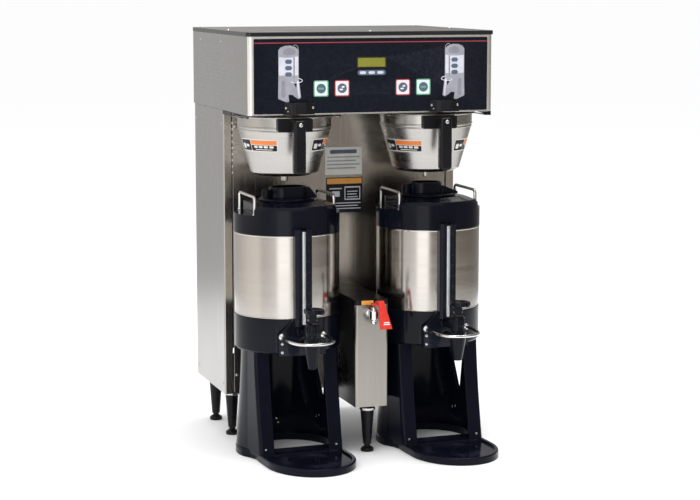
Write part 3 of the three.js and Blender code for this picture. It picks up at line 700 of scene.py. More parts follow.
def panel():
    pts = fil([(clo.x, clo.z), (chi.x, clo.z), (chi.x, chi.z), (clo.x, chi.z)], 2.5, 5)
    o = prism("panel_overlay_sheet", pts, clo.y, chi.y, "y", 0.15, 2)
    tools = []
    for k in KEYS:
        a, b = key_box[k]
        tools.append(prism("t", rect(a.x - 0.45, b.x + 0.45, a.z - 0.45, b.z + 0.45, 2.6), clo.y - 3, chi.y + 3, "y"))
    tools.append(prism("t", rect(DX0, DX1, DZ0, DZ1, 0.8), clo.y - 3, chi.y + 3, "y"))
    o = boolean(o, tools)
    put(o, "brewer", OVERLAY, "control_panel")

    def ink(name, pts2, mat, t=0.10, lift=0.0):
        p = prism(name, pts2, PY - t - lift, PY - lift + 0.02, "y", 0.03, 1, 0.0)
        return put(p, "brewer", mat)

    ink("panel_stripe", rect(clo.x + 0.6, chi.x - 0.6, chi.z - 9.4, chi.z - 7.4), INK_RED, 0.12)
    # key borders
    for k in KEYS:
        a, b = key_box[k]
        outer = "outer" in k
        ring = prism("border_" + k, rect(a.x - 1.9, b.x + 1.9, a.z - 1.9, b.z + 1.9, 3.6), PY - 0.16, PY + 0.02, "y", 0.05, 1, 0.0)
        ring = boolean(ring, [prism("t", rect(a.x - 0.5, b.x + 0.5, a.z - 0.5, b.z + 0.5, 2.7), PY - 2, PY + 2, "y")])
        put(ring, "brewer", INK_GREEN if outer else INK_RIM_RED)
    # display bezel
    bez = prism("display_bezel", rect(DX0 - 2.2, DX1 + 2.2, DZ0 - 2.2, DZ1 + 2.2, 1.6), PY - 0.35, PY + 0.02, "y", 0.15, 2, 0.0)
    bez = boolean(bez, [prism("t", rect(DX0 + 0.6, DX1 - 0.6, DZ0 + 0.6, DZ1 - 0.6, 0.6), PY - 2, PY + 2, "y")])
    put(bez, "brewer", BLACK)
    # plain indicator bar under the display: three pale pads on a slate strip
    z = DZ0 - 10.5
    ink("indicator_strip", rect(DX0 + 0.5, DX1 - 0.5, z - 5.2, z + 5.2, 4.8, 8), INK_SLATE, 0.08)
    for i in range(3):
        x = DX0 + 12 + i * 19
        ink("indicator_pad_%d" % i, rect(x - 6.8, x + 6.8, z - 2.9, z + 2.9, 2.8, 6), INK_PALE, 0.14)
    # plain picture of a server with three level pads, one on each side
    for side in ("left", "right"):
        m = -1 if side == "left" else 1
        cx = m * 180.0

        def P(pts):
            return [(cx + (-m) * x, clo.z + 23 + zz) for x, zz in pts]

        n = "picture_%s_" % side
        body = fil([(-21.5, 45), (21.5, 45), (21.5, 106), (15, 112), (4, 115.5), (-8, 115), (-17, 111.5), (-21.5, 106)], 2, 4)
        ink(n + "body", P(body), INK_GREY, 0.08)
        ink(n + "jacket", P(fil([(-20.3, 55), (20.3, 55), (20.3, 93.5), (6, 91.2), (-8, 91.0), (-20.3, 92.6)], 1, 3)), INK_PALE, 0.12)
        ink(n + "top", P(fil([(-12, 98.5), (-4, 95.5), (10, 96.5), (15.5, 101), (12, 107.5), (2, 110.5), (-8, 108.5)], 3, 4)), INK_MID, 0.12)
        leg1 = fil([(-21.5, 46.5), (-22.3, 8), (-5, 0.6), (1.4, 1.2), (-0.6, 16), (9, 15.4), (12, 12), (21, 6.2), (26.5, 9.5), (22, 46.5)], 2, 4)
        ink(n + "stand", P(leg1), INK_GREY, 0.09)
        ink(n + "stand_shade", P(fil([(-8, 44), (-6, 14), (-11, 8), (-16, 12), (-15, 44)], 2, 3)), INK_MID, 0.12)
        ink(n + "stand_edge", P(fil([(17.5, 44), (20.5, 8.5), (24, 10), (21, 44)], 1, 3)), INK_PALE, 0.12)
        ink(n + "window", P(fil([(9.8, 41), (17.2, 41), (16, 28.6)], 0.8, 3)), INK_DARK, 0.14)
        for j, zz in enumerate((82.8, 69.8, 57.0)):
            ink(n + "pad_%d" % j, P(fil([(-8, zz), (-5, zz + 4.4), (4.8, zz + 4.4), (7.8, zz), (4.8, zz - 4.4), (-5, zz - 4.4)], 1.8, 4)), INK_SLATE, 0.16)
        ink(n + "spine", P(rect(10.2, 13.2, 47, 92, 1)), INK_MID, 0.16)
        rim = [Vector((cx - m * x, PY - 0.22, clo.z + 23 + zz)) for x, zz in ((5, 42.5), (8, 40.5), (15, 39.5), (23, 40.5), (28.5, 42.5), (28.8, 45), (25, 47.8), (20, 48.8))]
        put(tube(n + "rim", spline(rim, 6), 0.62, 8), "brewer", INK_WHITE)
        hoop = [Vector((cx - m * x, PY - 0.22, clo.z + 23 + zz)) for x, zz in ((10, 113.5), (12.5, 116.3), (16.5, 115.8), (20.2, 112), (20.6, 107))]
        put(tube(n + "hoop", spline(hoop, 6), 0.6, 8), "brewer", INK_GREY)


panel()

# board and display
blo, bhi = bx("control_board")
brd = rbox("board_sheet", blo.x, bhi.x, blo.y + 8.2, bhi.y, blo.z, bhi.z, 0.3, 1)
parts = [brd]
for k in KEYS:
    a, b = key_box[k]
    c = (a + b) / 2
    parts.append(rbox("t", c.x - 5, c.x + 5, blo.y + 6.4, blo.y + 8.6, c.z - 5, c.z + 5, 0.4, 2))
brd = join("board_sheet", parts)
put(brd, "brewer", BOARD, ())
mod = rbox("display_module", DX0 + 1, DX1 - 1, blo.y, blo.y + 8.6, DZ0 + 1, DZ1 - 1, 0.4, 2)
put(mod, "brewer", DISPLAY, "control_board")

for k in KEYS:
    a, b = key_box[k]
    c = (a + b) / 2
    outer = "outer" in k
    cap = prism("cap_" + k, rect(a.x, b.x, a.z, b.z, 2.4, 6), a.y, b.y - 2.4, "y", 0.3, 2, 0.9)
    stem = rbox("t", c.x - 3, c.x + 3, b.y - 2.8, b.y, c.z - 3, c.z + 3, 0.3, 2)
    cap = join("cap_" + k, [cap, stem])
    put(cap, k, KEYCAP if outer else KEYCAP2, k)
    disc = prism("disc_" + k, arc(c.x, c.z, 9.9, 0, 354, 59), a.y - 0.16, a.y + 0.03, "y", 0.04, 1, 0.0)
    put(disc, k, INK_SLATE)
    if outer:
        put(prism("mark_" + k, rect(c.x - 6.2, c.x + 6.2, c.z - 1.9, c.z + 1.9, 1.7), a.y - 0.24, a.y - 0.1, "y", 0.03, 1, 0.0), k, INK_GREEN)
    else:
        put(prism("mark_a_" + k, fil([(c.x - 5.6, c.z - 4.4), (c.x + 2, c.z - 3.6), (c.x + 1.2, c.z - 0.9), (c.x - 5.2, c.z - 1.3)], 1.1, 4), a.y - 0.24, a.y - 0.1, "y", 0.03, 1, 0.0), k, INK_WHITE)
        put(prism("mark_b_" + k, fil([(c.x - 1.6, c.z + 1.2), (c.x + 5.4, c.z + 1.4), (c.x + 4.6, c.z + 4.6), (c.x - 0.6, c.z + 3.8)], 1.1, 4), a.y - 0.24, a.y - 0.1, "y", 0.03, 1, 0.0), k, INK_WHITE)

# funnel-sensor covers
for side in ("left", "right"):
    a, b = bx("funnel_sensor_cover_" + side)
    c = (a + b) / 2
    o = prism("sensor_cover_" + side, [(c.x - 33, b.y), (c.x - 33, b.y - 2.2), (c.x - 17.5, b.y - 4.2), (c.x - 13, b.y - 8.6), (c.x - 10.5, a.y), (c.x + 10.5, a.y), (c.x + 13, b.y - 8.6), (c.x + 17.5, b.y - 4.2), (c.x + 33, b.y - 2.2), (c.x + 33, b.y)], a.z, b.z, "z", 0.9, 3)
    o = soften(o, 0.8, 3)
    put(o, "brewer", BLACK, "funnel_sensor_cover_" + side)
    for i, (x, z) in enumerate(((-28.6, 13.5), (28.6, 13.5), (-24.5, 6.5))):
        put(screw("sensor_screw_%s_%d" % (side, i), c.x + x, b.y - 2.6, a.z + z, "-y", 5.0 if i < 2 else 3.4, 1.3, slot=i < 2), "brewer", ZINC)

# ------------------------------------------------------------------ sprayheads, rails, tank
for side, st in stations.items():
    fx, fy = st["fx"], st["fy"]
    a, b = bx("sprayhead_" + side)
    o = lathe("spray_disc_" + side, [(0, a.z), (37, a.z), (40, a.z + 0.9), (40, a.z + 2.6), (12, b.z - 23.8), (10, b.z - 22), (10, b.z), (0, b.z)], 72, fx, fy, r=0.8)
    holes = []
    for ring_r, cnt in ((10, 6), (20, 12), (30, 18)):
        for i in range(cnt):
            t = 2 * pi * i / cnt
            holes.append(lathe("t", [(0, a.z - 1), (1.3, a.z - 1), (1.3, a.z + 0.9), (0, a.z + 0.9)], 10, fx + ring_r * cos(t), fy + ring_r * sin(t)))
    o = boolean(o, [join("t", holes)])
    put(o, "brewer", STEEL_SPUN, "sprayhead_" + side)
    r0, r1 = bx("funnel_rail_" + side)
    for g in (-1, 1):
        ya = r0.y if g == 1 and side == "right" else -100.0
        xw = fx + g * 106.0
        outline = fil([(ya, r1.z), (ya, r0.z + 0.4), (ya + 8, r0.z), (-45, r1.z - 3.6), (r1.y, r1.z - 3.6), (r1.y, r1.z)], 1.0, 3)
        if side == "left" and g < 0:
            # only a short wedge shows at the front, and the deep part sits far back
            outline = fil([(r0.y, r1.z), (r0.y, r1.z - 5.0), (r0.y + 6, r1.z - 6.2), (r0.y + 48, r1.z - 1.6), (-20, r1.z - 1.6), (-4, r0.z + 0.2), (r1.y, r0.z + 0.2), (r1.y, r1.z)], 0.4, 3)
        web = prism("t", outline, xw - 0.9, xw + 0.9, "x", 0.2, 1)
        put(web, "brewer", BLACK, "funnel_rail_" + side)
        web.name = "rail_web_%s_%s" % (side, "l" if g < 0 else "r")
        x0, x1 = sorted((fx + g * 97.0, fx + g * 105.4))
        led = rbox("rail_ledge_%s_%s" % (side, "l" if g < 0 else "r"), x0, x1, ya + 4, r1.y, r0.z + 0.2, r0.z + 1.5, 0.4, 2)
        if ya < -140:
            put(led, "brewer", STEEL_SPUN, ())
        else:
            put(led, "brewer", STEEL_SPUN, ())
for name in ("water_tank",):
    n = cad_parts[name]
    n.data.materials.clear()
    n.data.materials.append(TANK)

# ------------------------------------------------------------------ trunk
tlo, thi = bx("trunk_shell")
flo, fhi = bx("trunk_front_panel")


def trunk():
    o = prism("trunk_skin", fil([(tlo.x, thi.y, 1.5), (tlo.x, tlo.y, 3.4), (thi.x, tlo.y, 3.4), (thi.x, thi.y, 1.5)], n=6), tlo.z, thi.z, "z", 1.3, 3, 1.0)
    w = 1.8
    tools = [prism("t", rect(tlo.x + w, thi.x - w, tlo.y + w, thi.y + 9, 1.2), tlo.z + w, thi.z + 9),
             rbox("t", flo.x - 2.6, fhi.x + 2.6, tlo.y - 5, tlo.y + 6, tlo.z + w, thi.z + 9, 0)]
    o = boolean(o, tools)
    put(o, "brewer", STEEL_SIDE, "trunk_shell")
    o.data.materials.append(STEEL_FRONT)
    for f in o.data.polygons:
        if f.normal.y < -0.97:
            f.material_index = 1
    p = rbox("trunk_front_sheet", flo.x, fhi.x, flo.y, fhi.y, flo.z, fhi.z, 0.7, 3)
    put(p, "brewer", STEEL_FRONT, "trunk_front_panel")
    for s, sn in ((-1, "l"), (1, "r")):
        x = s * 235.7
        k = lathe("t", [(0, 0), (5.2, 0), (5.2, 0.8), (4.6, 1.2), (0, 1.2)], 40, r=0.3)
        tilt(k, 90, "X", (0, 0, 0))
        shift(k, x, flo.y, flo.z + 578)
        k.name = "panel_washer_" + sn
        put(k, "brewer", STEEL_FRONT)
        put(screw("panel_screw_high_" + sn, x, flo.y - 1.1, flo.z + 578, "-y", 7, 2.2), "brewer", STEEL_FRONT)
        put(screw("panel_screw_low_" + sn, x, flo.y - 0.1, flo.z + 38, "-y", 7, 2.0), "brewer", ZINC)
    for s, sn in ((-1, "l"), (1, "r")):
        for i, (y, z) in enumerate(((tlo.y + 14, tlo.z + 22), (tlo.y + 14, thi.z - 30), (thi.y - 14, tlo.z + 22), (thi.y - 14, thi.z - 30))):
            if s > 0 or True:
                put(screw("side_screw_%s_%d" % (sn, i), s * thi.x, y, z, "+x" if s > 0 else "-x", 5.5, 1.3), "brewer", ZINC)


trunk()


# rear cover with gland and water inlet
def rear():
    a, b = bx("rear_cover")
    y0, y1 = a.y, a.y + 2
    o = rbox("rear_sheet", a.x, b.x, y0, y1, a.z, b.z, 0.6, 2)
    tools = []
    for x, r in ((-180, 7.0), (180, 5.5)):
        t = lathe("t", [(0, -30), (r, -30), (r, 30), (0, 30)], 32)
        tilt(t, 90, "X", (0, 0, 0))
        shift(t, x, y1, 150)
        tools.append(t)
    # two banks of pressed slots
    for bank in (-1, 1):
        for i in range(9):
            z = 560 + i * 14
            tools.append(prism("t", rect(bank * 120 - 62, bank * 120 + 62, z - 2.6, z + 2.6, 2.5, 5), y0 - 4, y1 + 4, "y"))
    o = boolean(o, tools)
    put(o, "brewer", STEEL_SIDE, "rear_cover")
    for nm, x, r0, r1, hexr in (("gland", -180, 14, 7.0, 13.8), ("inlet", 180, 11, 5.5, 10.8)):
        nut = prism("t", [(hexr * cos(pi / 3 * i), hexr * sin(pi / 3 * i)) for i in range(6)], 0, 4.2, "z", 0.6, 2)
        collar = lathe("t", [(r1, 0), (r0 * 0.78, 0), (r0 * 0.78, 7.6), (r0 * 0.66, 8.8), (r1, 8.8)], 48, r=0.5)
        nut = boolean(nut, [lathe("t", [(0, -3), (r1, -3), (r1, 9), (0, 9)], 40)])
        g = join(nm + "_fitting", [nut, collar])
        tilt(g, -90, "X", (0, 0, 0))
        shift(g, x, y1, 150)
        put(g, "brewer", BLACK if nm == "gland" else CHROME)
    i = 0
    for x in (-246, 0, 246):
        for z in (122, 420, 700, 862):
            if x == 0 and z in (420,):
                continue
            put(screw("rear_screw_%d" % i, x, y1 - 0.1, z, "+y", 7, 1.8, ang=15 + 17 * i), "brewer", ZINC)
            i += 1


rear()


# blank labels on the trunk front
def plate(name, x0, x1, z0, z1, y, mat, t=0.12, r=1.2):
    return put(prism(name, rect(x0, x1, z0, z1, r), y - t, y + 0.02, "y", 0.04, 1, 0.0), "brewer", mat)


FY = flo.y
plate("data_label", -35, 49, 572, 632, FY, LABEL_WHITE, 0.2)
plate("data_label_head", -24, 37, 618, 626.5, FY - 0.2, INK_SLATE, 0.06, 2.0)
for i, z in enumerate((609, 601, 593, 585)):
    plate("data_label_row_%d" % i, -31, 44 - 9 * (i % 2), z, z + 3.0, FY - 0.2, INK_GREY, 0.06, 1.0)
plate("caution_label", -33, 50, 489, 566, FY, LABEL_BLACK, 0.2)
plate("caution_label_band", -31, 48, 552, 564, FY - 0.2, LABEL_AMBER, 0.08, 0.6)
plate("caution_label_left", -29, 6, 518, 548, FY - 0.2, LABEL_BLACK, 0.05, 0.6)
for i, (x0, x1, z0, z1) in enumerate(((-26, 3, 540.5, 543), (-20, -2, 524, 536), (9, 45, 543, 546), (9, 45, 516.5, 519), (9, 11, 519, 543), (43, 45, 519, 543), (-29, 46, 509, 511), (-29, 40, 503, 505), (-29, 46, 497, 499), (15, 39, 534, 536), (15, 37, 528, 530), (15, 39, 522, 524))):
    plate("caution_mark_%d" % i, x0, x1, z0, z1, FY - 0.2, INK_PALE, 0.08, min(0.9, (z1 - z0) * 0.4))

# ------------------------------------------------------------------ centre faucet box
b0, b1 = bx("faucet_box_body")
c0, c1 = bx("faucet_box_cap")
s0, s1 = bx("faucet_box_front")
q0, q1 = bx("hot_water_faucet")
BW = b1.x
BF = s0.y
FAX = (q0.x + q1.x) / 2
FAY = BF - 24


def box():
    body = prism("box_body", fil([(-BW, b1.y, 1), (-BW, BF + 14.5, 0.5), (-BW + 1.6, BF + 14.5, 0.3), (-BW + 1.6, BF + 1.6, 5.4), (BW - 1.6, BF + 1.6, 5.4), (BW - 1.6, BF + 14.5, 0.3), (BW, BF + 14.5, 0.5), (BW, b1.y, 1)], n=6), b0.z, b1.z, "z", 0.4, 2, 0.8)
    body = boolean(body, [rbox("t", -BW + 4, BW - 4, BF + 5, b1.y - 3, b0.z + 3, b1.z + 9, 0)])
    put(body, "brewer", BLACK, "faucet_box_body")
    r = 7
    out = [(-BW, BF + 14)] + arc(-BW + r, BF + r, r, 180, 270, 10) + arc(BW - r, BF + r, r, 270, 360, 10) + [(BW, BF + 14)]
    inn = [(BW - 1.2, BF + 14)] + arc(BW - r, BF + r, r - 1.2, 360, 270, 10) + arc(-BW + r, BF + r, r - 1.2, 270, 180, 10) + [(-BW + 1.2, BF + 14)]
    fr = prism("box_front_sheet", out + inn, s0.z, s1.z, "z")
    hole = lathe("t", [(0, -30), (8.7, -30), (8.7, 30), (0, 30)], 40)
    tilt(hole, 90, "X", (0, 0, 0))
    shift(hole, FAX, BF, 303)
    fr = boolean(fr, [hole])
    put(fr, "brewer", STEEL_BOX, "faucet_box_front")
    cap = prism("box_cap", fil([(-BW, c1.y, 1), (-BW, BF, 7), (BW, BF, 7), (BW, c1.y, 1)], n=10), c0.z, c1.z, "z", 1.6, 4, 0.5)
    put(cap, "brewer", BLACK, "faucet_box_cap")
    o = prism("box_cap_strip", rect(-23, 3, c0.z + 0.6, c1.z - 1.6, 1.2), BF - 0.9, BF + 0.02, "y", 0.3, 2, 0.0)
    put(o, "brewer", LABEL_AMBER)
    put(prism("box_cap_strip_line", rect(-19, -1, c0.z + 3.4, c0.z + 5.0, 0.7), BF - 1.0, BF - 0.8, "y", 0.05, 1, 0.0), "brewer", LABEL_ORANGE)
    # chrome faucet
    shank = lathe("t", [(0, 0), (7.9, 0), (7.9, 22), (0, 22)], 40, r=0.6)
    tilt(shank, 90, "X", (0, 0, 0))
    shift(shank, FAX, BF + 4, 303)
    nut = prism("t", [(10.6 * cos(pi / 3 * i), 10.6 * sin(pi / 3 * i)) for i in range(6)], 0, 4.5, "z", 0.7, 2)
    tilt(nut, 90, "X", (0, 0, 0))
    shift(nut, FAX, BF - 0.4, 303)
    barrel = lathe("t", [(0, 290.5), (8.2, 290.5), (9.5, 293), (9.5, 310), (8.6, 312.4), (5.2, 313.6), (4.2, 318), (0, 318)], 44, FAX, FAY, r=1.0)
    spout = lathe("t", [(3.1, 282.2), (5.4, 282.2), (6.3, 283.6), (6.3, 286), (5.6, 287.2), (6.9, 293.5), (3.1, 293.5)], 40, FAX, FAY, r=0.5)
    put(join("faucet_metal", [shank, nut, barrel, spout]), "brewer", CHROME2, "hot_water_faucet")
    # red lever
    v0, v1 = bx("hot_water_lever")
    f = BF
    sidep = fil([(f - 15, 321.8, 2), (f - 15, 328.2, 2.5), (f - 33, 333.0, 6), (f - 38, 328.5, 5), (f - 47, 274, 1.4), (f - 42, 273, 1.4), (f - 35.4, 321.6, 3)], n=5)
    lever = prism("lever_blade", sidep, -12, 34, "x")
    keep = prism("t", fil([(1.5, 336, 2), (13.5, 336, 3), (16, 324, 8), (30, 272, 1.2), (4, 272, 1.2), (2.5, 306, 8)], n=5), f - 60, f + 5, "y")
    lever = boolean(lever, [keep], "INTERSECT")
    tab = rbox("t", -9, 6, f - 29, f - 19, 321.6, 326.4, 1.2, 3)
    lever = boolean(lever, [tab], "UNION")
    lever = soften(lever, 0.9, 3)
    put(lever, "hot_water_lever", RED, "hot_water_lever")
    # the lever's two plain raised bars; a strip along the lever's left edge is built and then removed
    strip = prism("lever_lining", fil([(f - 44.4, 275.5), (f - 42.4, 275.2), (f - 36.4, 318), (f - 38, 320)], 0.5, 3), 1.2, 2.6, "x", 0.2, 1)
    for i, (z, w) in enumerate(((283.8, 7.0), (287.6, 6.0))):
        y = f - 45.5 + (z - 283) * 0.16
        bar_ = rbox("lever_bar_%d" % i, 17.5 - w, 17.5 + w, y - 0.55, y + 1.2, z - 1.1, z + 1.1, 0.45, 2)
        tilt(bar_, -9.3, "X", (17.5, y, z))
        put(bar_, "hot_water_lever", INK_WHITE)
    bpy.data.objects.remove(strip)
    pin = lathe("lever_pin", [(0, 0), (2.6, 0), (2.6, 1.6), (2.2, 2.2), (0, 2.2)], 24, r=0.3)
    tilt(pin, 90, "Y", (0, 0, 0))
    shift(pin, 13.2, FAY, 327)
    put(pin, "hot_water_lever", ZINC)


box()

# ------------------------------------------------------------------ legs
for name in ("leg_front_left", "leg_front_right", "leg_rear_left", "leg_rear_right", "leg_center"):
    a, b = bx(name)
    cx, cy, top = (a.x + b.x) / 2, (a.y + b.y) / 2, b.z
    body = lathe(name + "_post", [(0, 15), (8.4, 15), (9.0, 18), (14.3, top - 14), (14.6, top - 6), (13.4, top - 4.4), (13.4, top), (0, top)], 56, cx, cy, r=1.0)
    foot = lathe("t", [(0, 0), (13.4, 0), (14, 1.6), (14, 5.6), (12.4, 7.6), (7.4, 10.8), (6.2, 12.6), (6.2, 16), (0, 16)], 56, cx, cy, r=0.8)
    o = join(name + "_post", [body, foot])
    put(o, "brewer", BLACK, name)
    ring = lathe(name + "_collar", [(12.5, top - 12.0), (16.4, top - 12.0), (17, top - 11), (17, top - 7), (16.2, top - 6), (12.5, top - 6)], 56, cx, cy, r=0.8)
    put(ring, "brewer", ZINC)

# ------------------------------------------------------------------ brew funnels
for side, st in stations.items():
    fx, fy = st["fx"], st["fy"]
    a, b = bx("brew_funnel_" + side)
    z0, z1 = a.z, b.z
    FR = 98.5
    prof = [(4.2, z0, 0.4), (7.4, z0, 0.8), (8.2, z0 + 11.5, 1), (9.5, z0 + 12.2, 1), (60, z0 + 14.2, 4), (71.3, z0 + 20.4, 5),
            (96.6, z0 + 108.2, 0.4), (98.0, z0 + 109.2, 0.6), (98.0, z0 + 110.6, 0.6), (97.2, z0 + 111.4, 0.4),
            (98.0, z0 + 114.4, 0.4), (99.3, z0 + 115.4, 0.6), (99.3, z0 + 117.0, 0.6), (98.2, z0 + 117.9, 0.5),
            (98.4, z1 - 2.6, 1.2), (104.2, z1 - 2.4, 1.0), (104.2, z1, 1.0),
            (96.9, z1, 1.0), (96.7, z1 - 26, 2), (70, z0 + 22.4, 4), (60, z0 + 16.2, 3), (4.2, z0 + 13.6, 0.5)]
    o = lathe("funnel_cone_" + side, prof, 144, fx, fy, n=4)
    put(o, "funnel_" + side, STEEL_SPUN, "brew_funnel_" + side)
    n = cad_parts["filter_basket_" + side]
    n.data.materials.clear()
    n.data.materials.append(STEEL_SPUN)

    # handle
    pl = prism("t", fil([(-36.5, 684.2, 4), (36.5, 684.2, 4), (37, 710.6, 2), (-37, 710.6, 2)], n=6), -110, -88, "y", 1.0, 3, 1.8)
    pl = boolean(pl, [lathe("t", [(0, 600), (FR + 1.0, 600), (FR + 1.0, 800), (0, 800)], 128)])
    neck = rbox("t", -12, 12, -146, -104, 690, 710.4, 3.0, 4)
    grip = prism("t", fil([(-12.4, 601.2, 7), (12.4, 601.2, 7), (12.6, 660, 60), (12.0, 710.5, 6), (-12.0, 710.5, 6), (-12.6, 660, 60)], n=8), -156, -132.5, "y", 5.0, 5, 5.0)
    h = boolean(pl, [neck, grip], "UNION")
    h = soften(h, 0.7, 2, 50)
    shift(h, fx, fy, 0)
    spin(h, -4, fx, fy)
    h.name = "funnel_grip_" + side
    put(h, "funnel_" + side, BLACK, "funnel_handle_" + side)
    sc = screw("funnel_grip_screw_" + side, fx + 1.5, fy - 155.8, 701.5, "-y", 8.5, 2.4)
    put(spin(sc, -4, fx, fy), "funnel_" + side, ZINC)

    # blank labels that follow the cone
    def cone_patch(name, a0, a1, z_lo, z_hi, mat, lift, rr=2.0):
        def rad_at(z):
            t = (z - (z0 + 20.4)) / (108.2 - 20.4)
            return 71.3 + (96.6 - 71.3) * t
        nx, nz = 26, 8
        verts, faces = [], []
        H = z_hi - z_lo
        for layer in (0, 1):
            for j in range(nz + 1):
                for i in range(nx + 1):
                    u, v = i / nx, j / nz
                    z = z_lo + H * v
                    W = (a1 - a0)
                    ang = a0 + W * u
                    # rounded corners: pull the ends in near the top and bottom
                    dz = min(v * H, (1 - v) * H)
                    if dz < rr:
                        pull = (rr - math.sqrt(max(0.0, rr * rr - (rr - dz) ** 2))) / rad_at(z)
                        ang = a0 + pull + (W - 2 * pull) * u
                    R = rad_at(z) + (lift if layer else lift - 0.25)
                    verts.append((fx + R * cos(ang), fy + R * sin(ang), z))
        m = (nx + 1) * (nz + 1)
        for layer in (0, 1):
            for j in range(nz):
                for i in range(nx):
                    q = [layer * m + j * (nx + 1) + i, layer * m + j * (nx + 1) + i + 1, layer * m + (j + 1) * (nx + 1) + i + 1, layer * m + (j + 1) * (nx + 1) + i]
                    faces.append(q if layer else q[::-1])
        edge = [i for i in range(nx + 1)] + [j * (nx + 1) + nx for j in range(1, nz + 1)] + [nz * (nx + 1) + i for i in range(nx - 1, -1, -1)] + [j * (nx + 1) for j in range(nz - 1, 0, -1)]
        for e, g in zip(edge, edge[1:] + edge[:1]):
            faces.append([e, g, m + g, m + e])
        return put(mk(name, verts, faces, 50), "funnel_" + side, mat)

    for k, (mid, half) in enumerate(((-147.5, 32.5), (-33.5, 32.5))):
        zl = 641.0 if side == "left" else 632.5
        zh = zl + 26.0
        A0, A1 = rad(mid - half), rad(mid + half)
        cut_ = A0 + (A1 - A0) * 0.36
        cone_patch("funnel_label_%s_%d" % (side, k), A0, A1, zl, zh, LABEL_WHITE, 0.22)
        cone_patch("funnel_label_dark_%s_%d" % (side, k), A0 + 0.018, cut_ - 0.008, zl + 1.8, zh - 1.8, LABEL_BLACK, 0.34, 0.8)
        cone_patch("funnel_label_band_%s_%d" % (side, k), cut_ + 0.008, A1 - 0.018, zh - 11.0, zh - 1.8, LABEL_ORANGE, 0.34, 0.8)
        cone_patch("funnel_label_low_%s_%d" % (side, k), cut_ + 0.008, A1 - 0.018, zl + 1.8, zh - 12.2, LABEL_BLACK, 0.34, 0.8)
        # plain marks: a row of pale blocks over a thin bar, and a tilted pair in the dark square
        w4 = (A1 - cut_ - 0.16) / 4
        for q in range(4):
            cone_patch("funnel_label_block_%s_%d_%d" % (side, k, q), cut_ + 0.08 + q * w4 + 0.018, cut_ + 0.08 + (q + 1) * w4 - 0.018, zl + 8.2, zl + 12.6, LABEL_WHITE, 0.42, 0.7)
        cone_patch("funnel_label_bar_%s_%d" % (side, k), cut_ + 0.13, A1 - 0.13, zl + 4.0, zl + 5.4, LABEL_WHITE, 0.42, 0.5)
        sq = cut_ - A0
        cone_patch("funnel_label_spot_%s_%d" % (side, k), A0 + sq * 0.16, A0 + sq * 0.44, zl + 5.5, zl + 16.0, LABEL_WHITE, 0.42, 2.2)
        cone_patch("funnel_label_spot2_%s_%d" % (side, k), A0 + sq * 0.52, A0 + sq * 0.82, zl + 9.5, zl + 15.0, LABEL_WHITE, 0.42, 2.2)

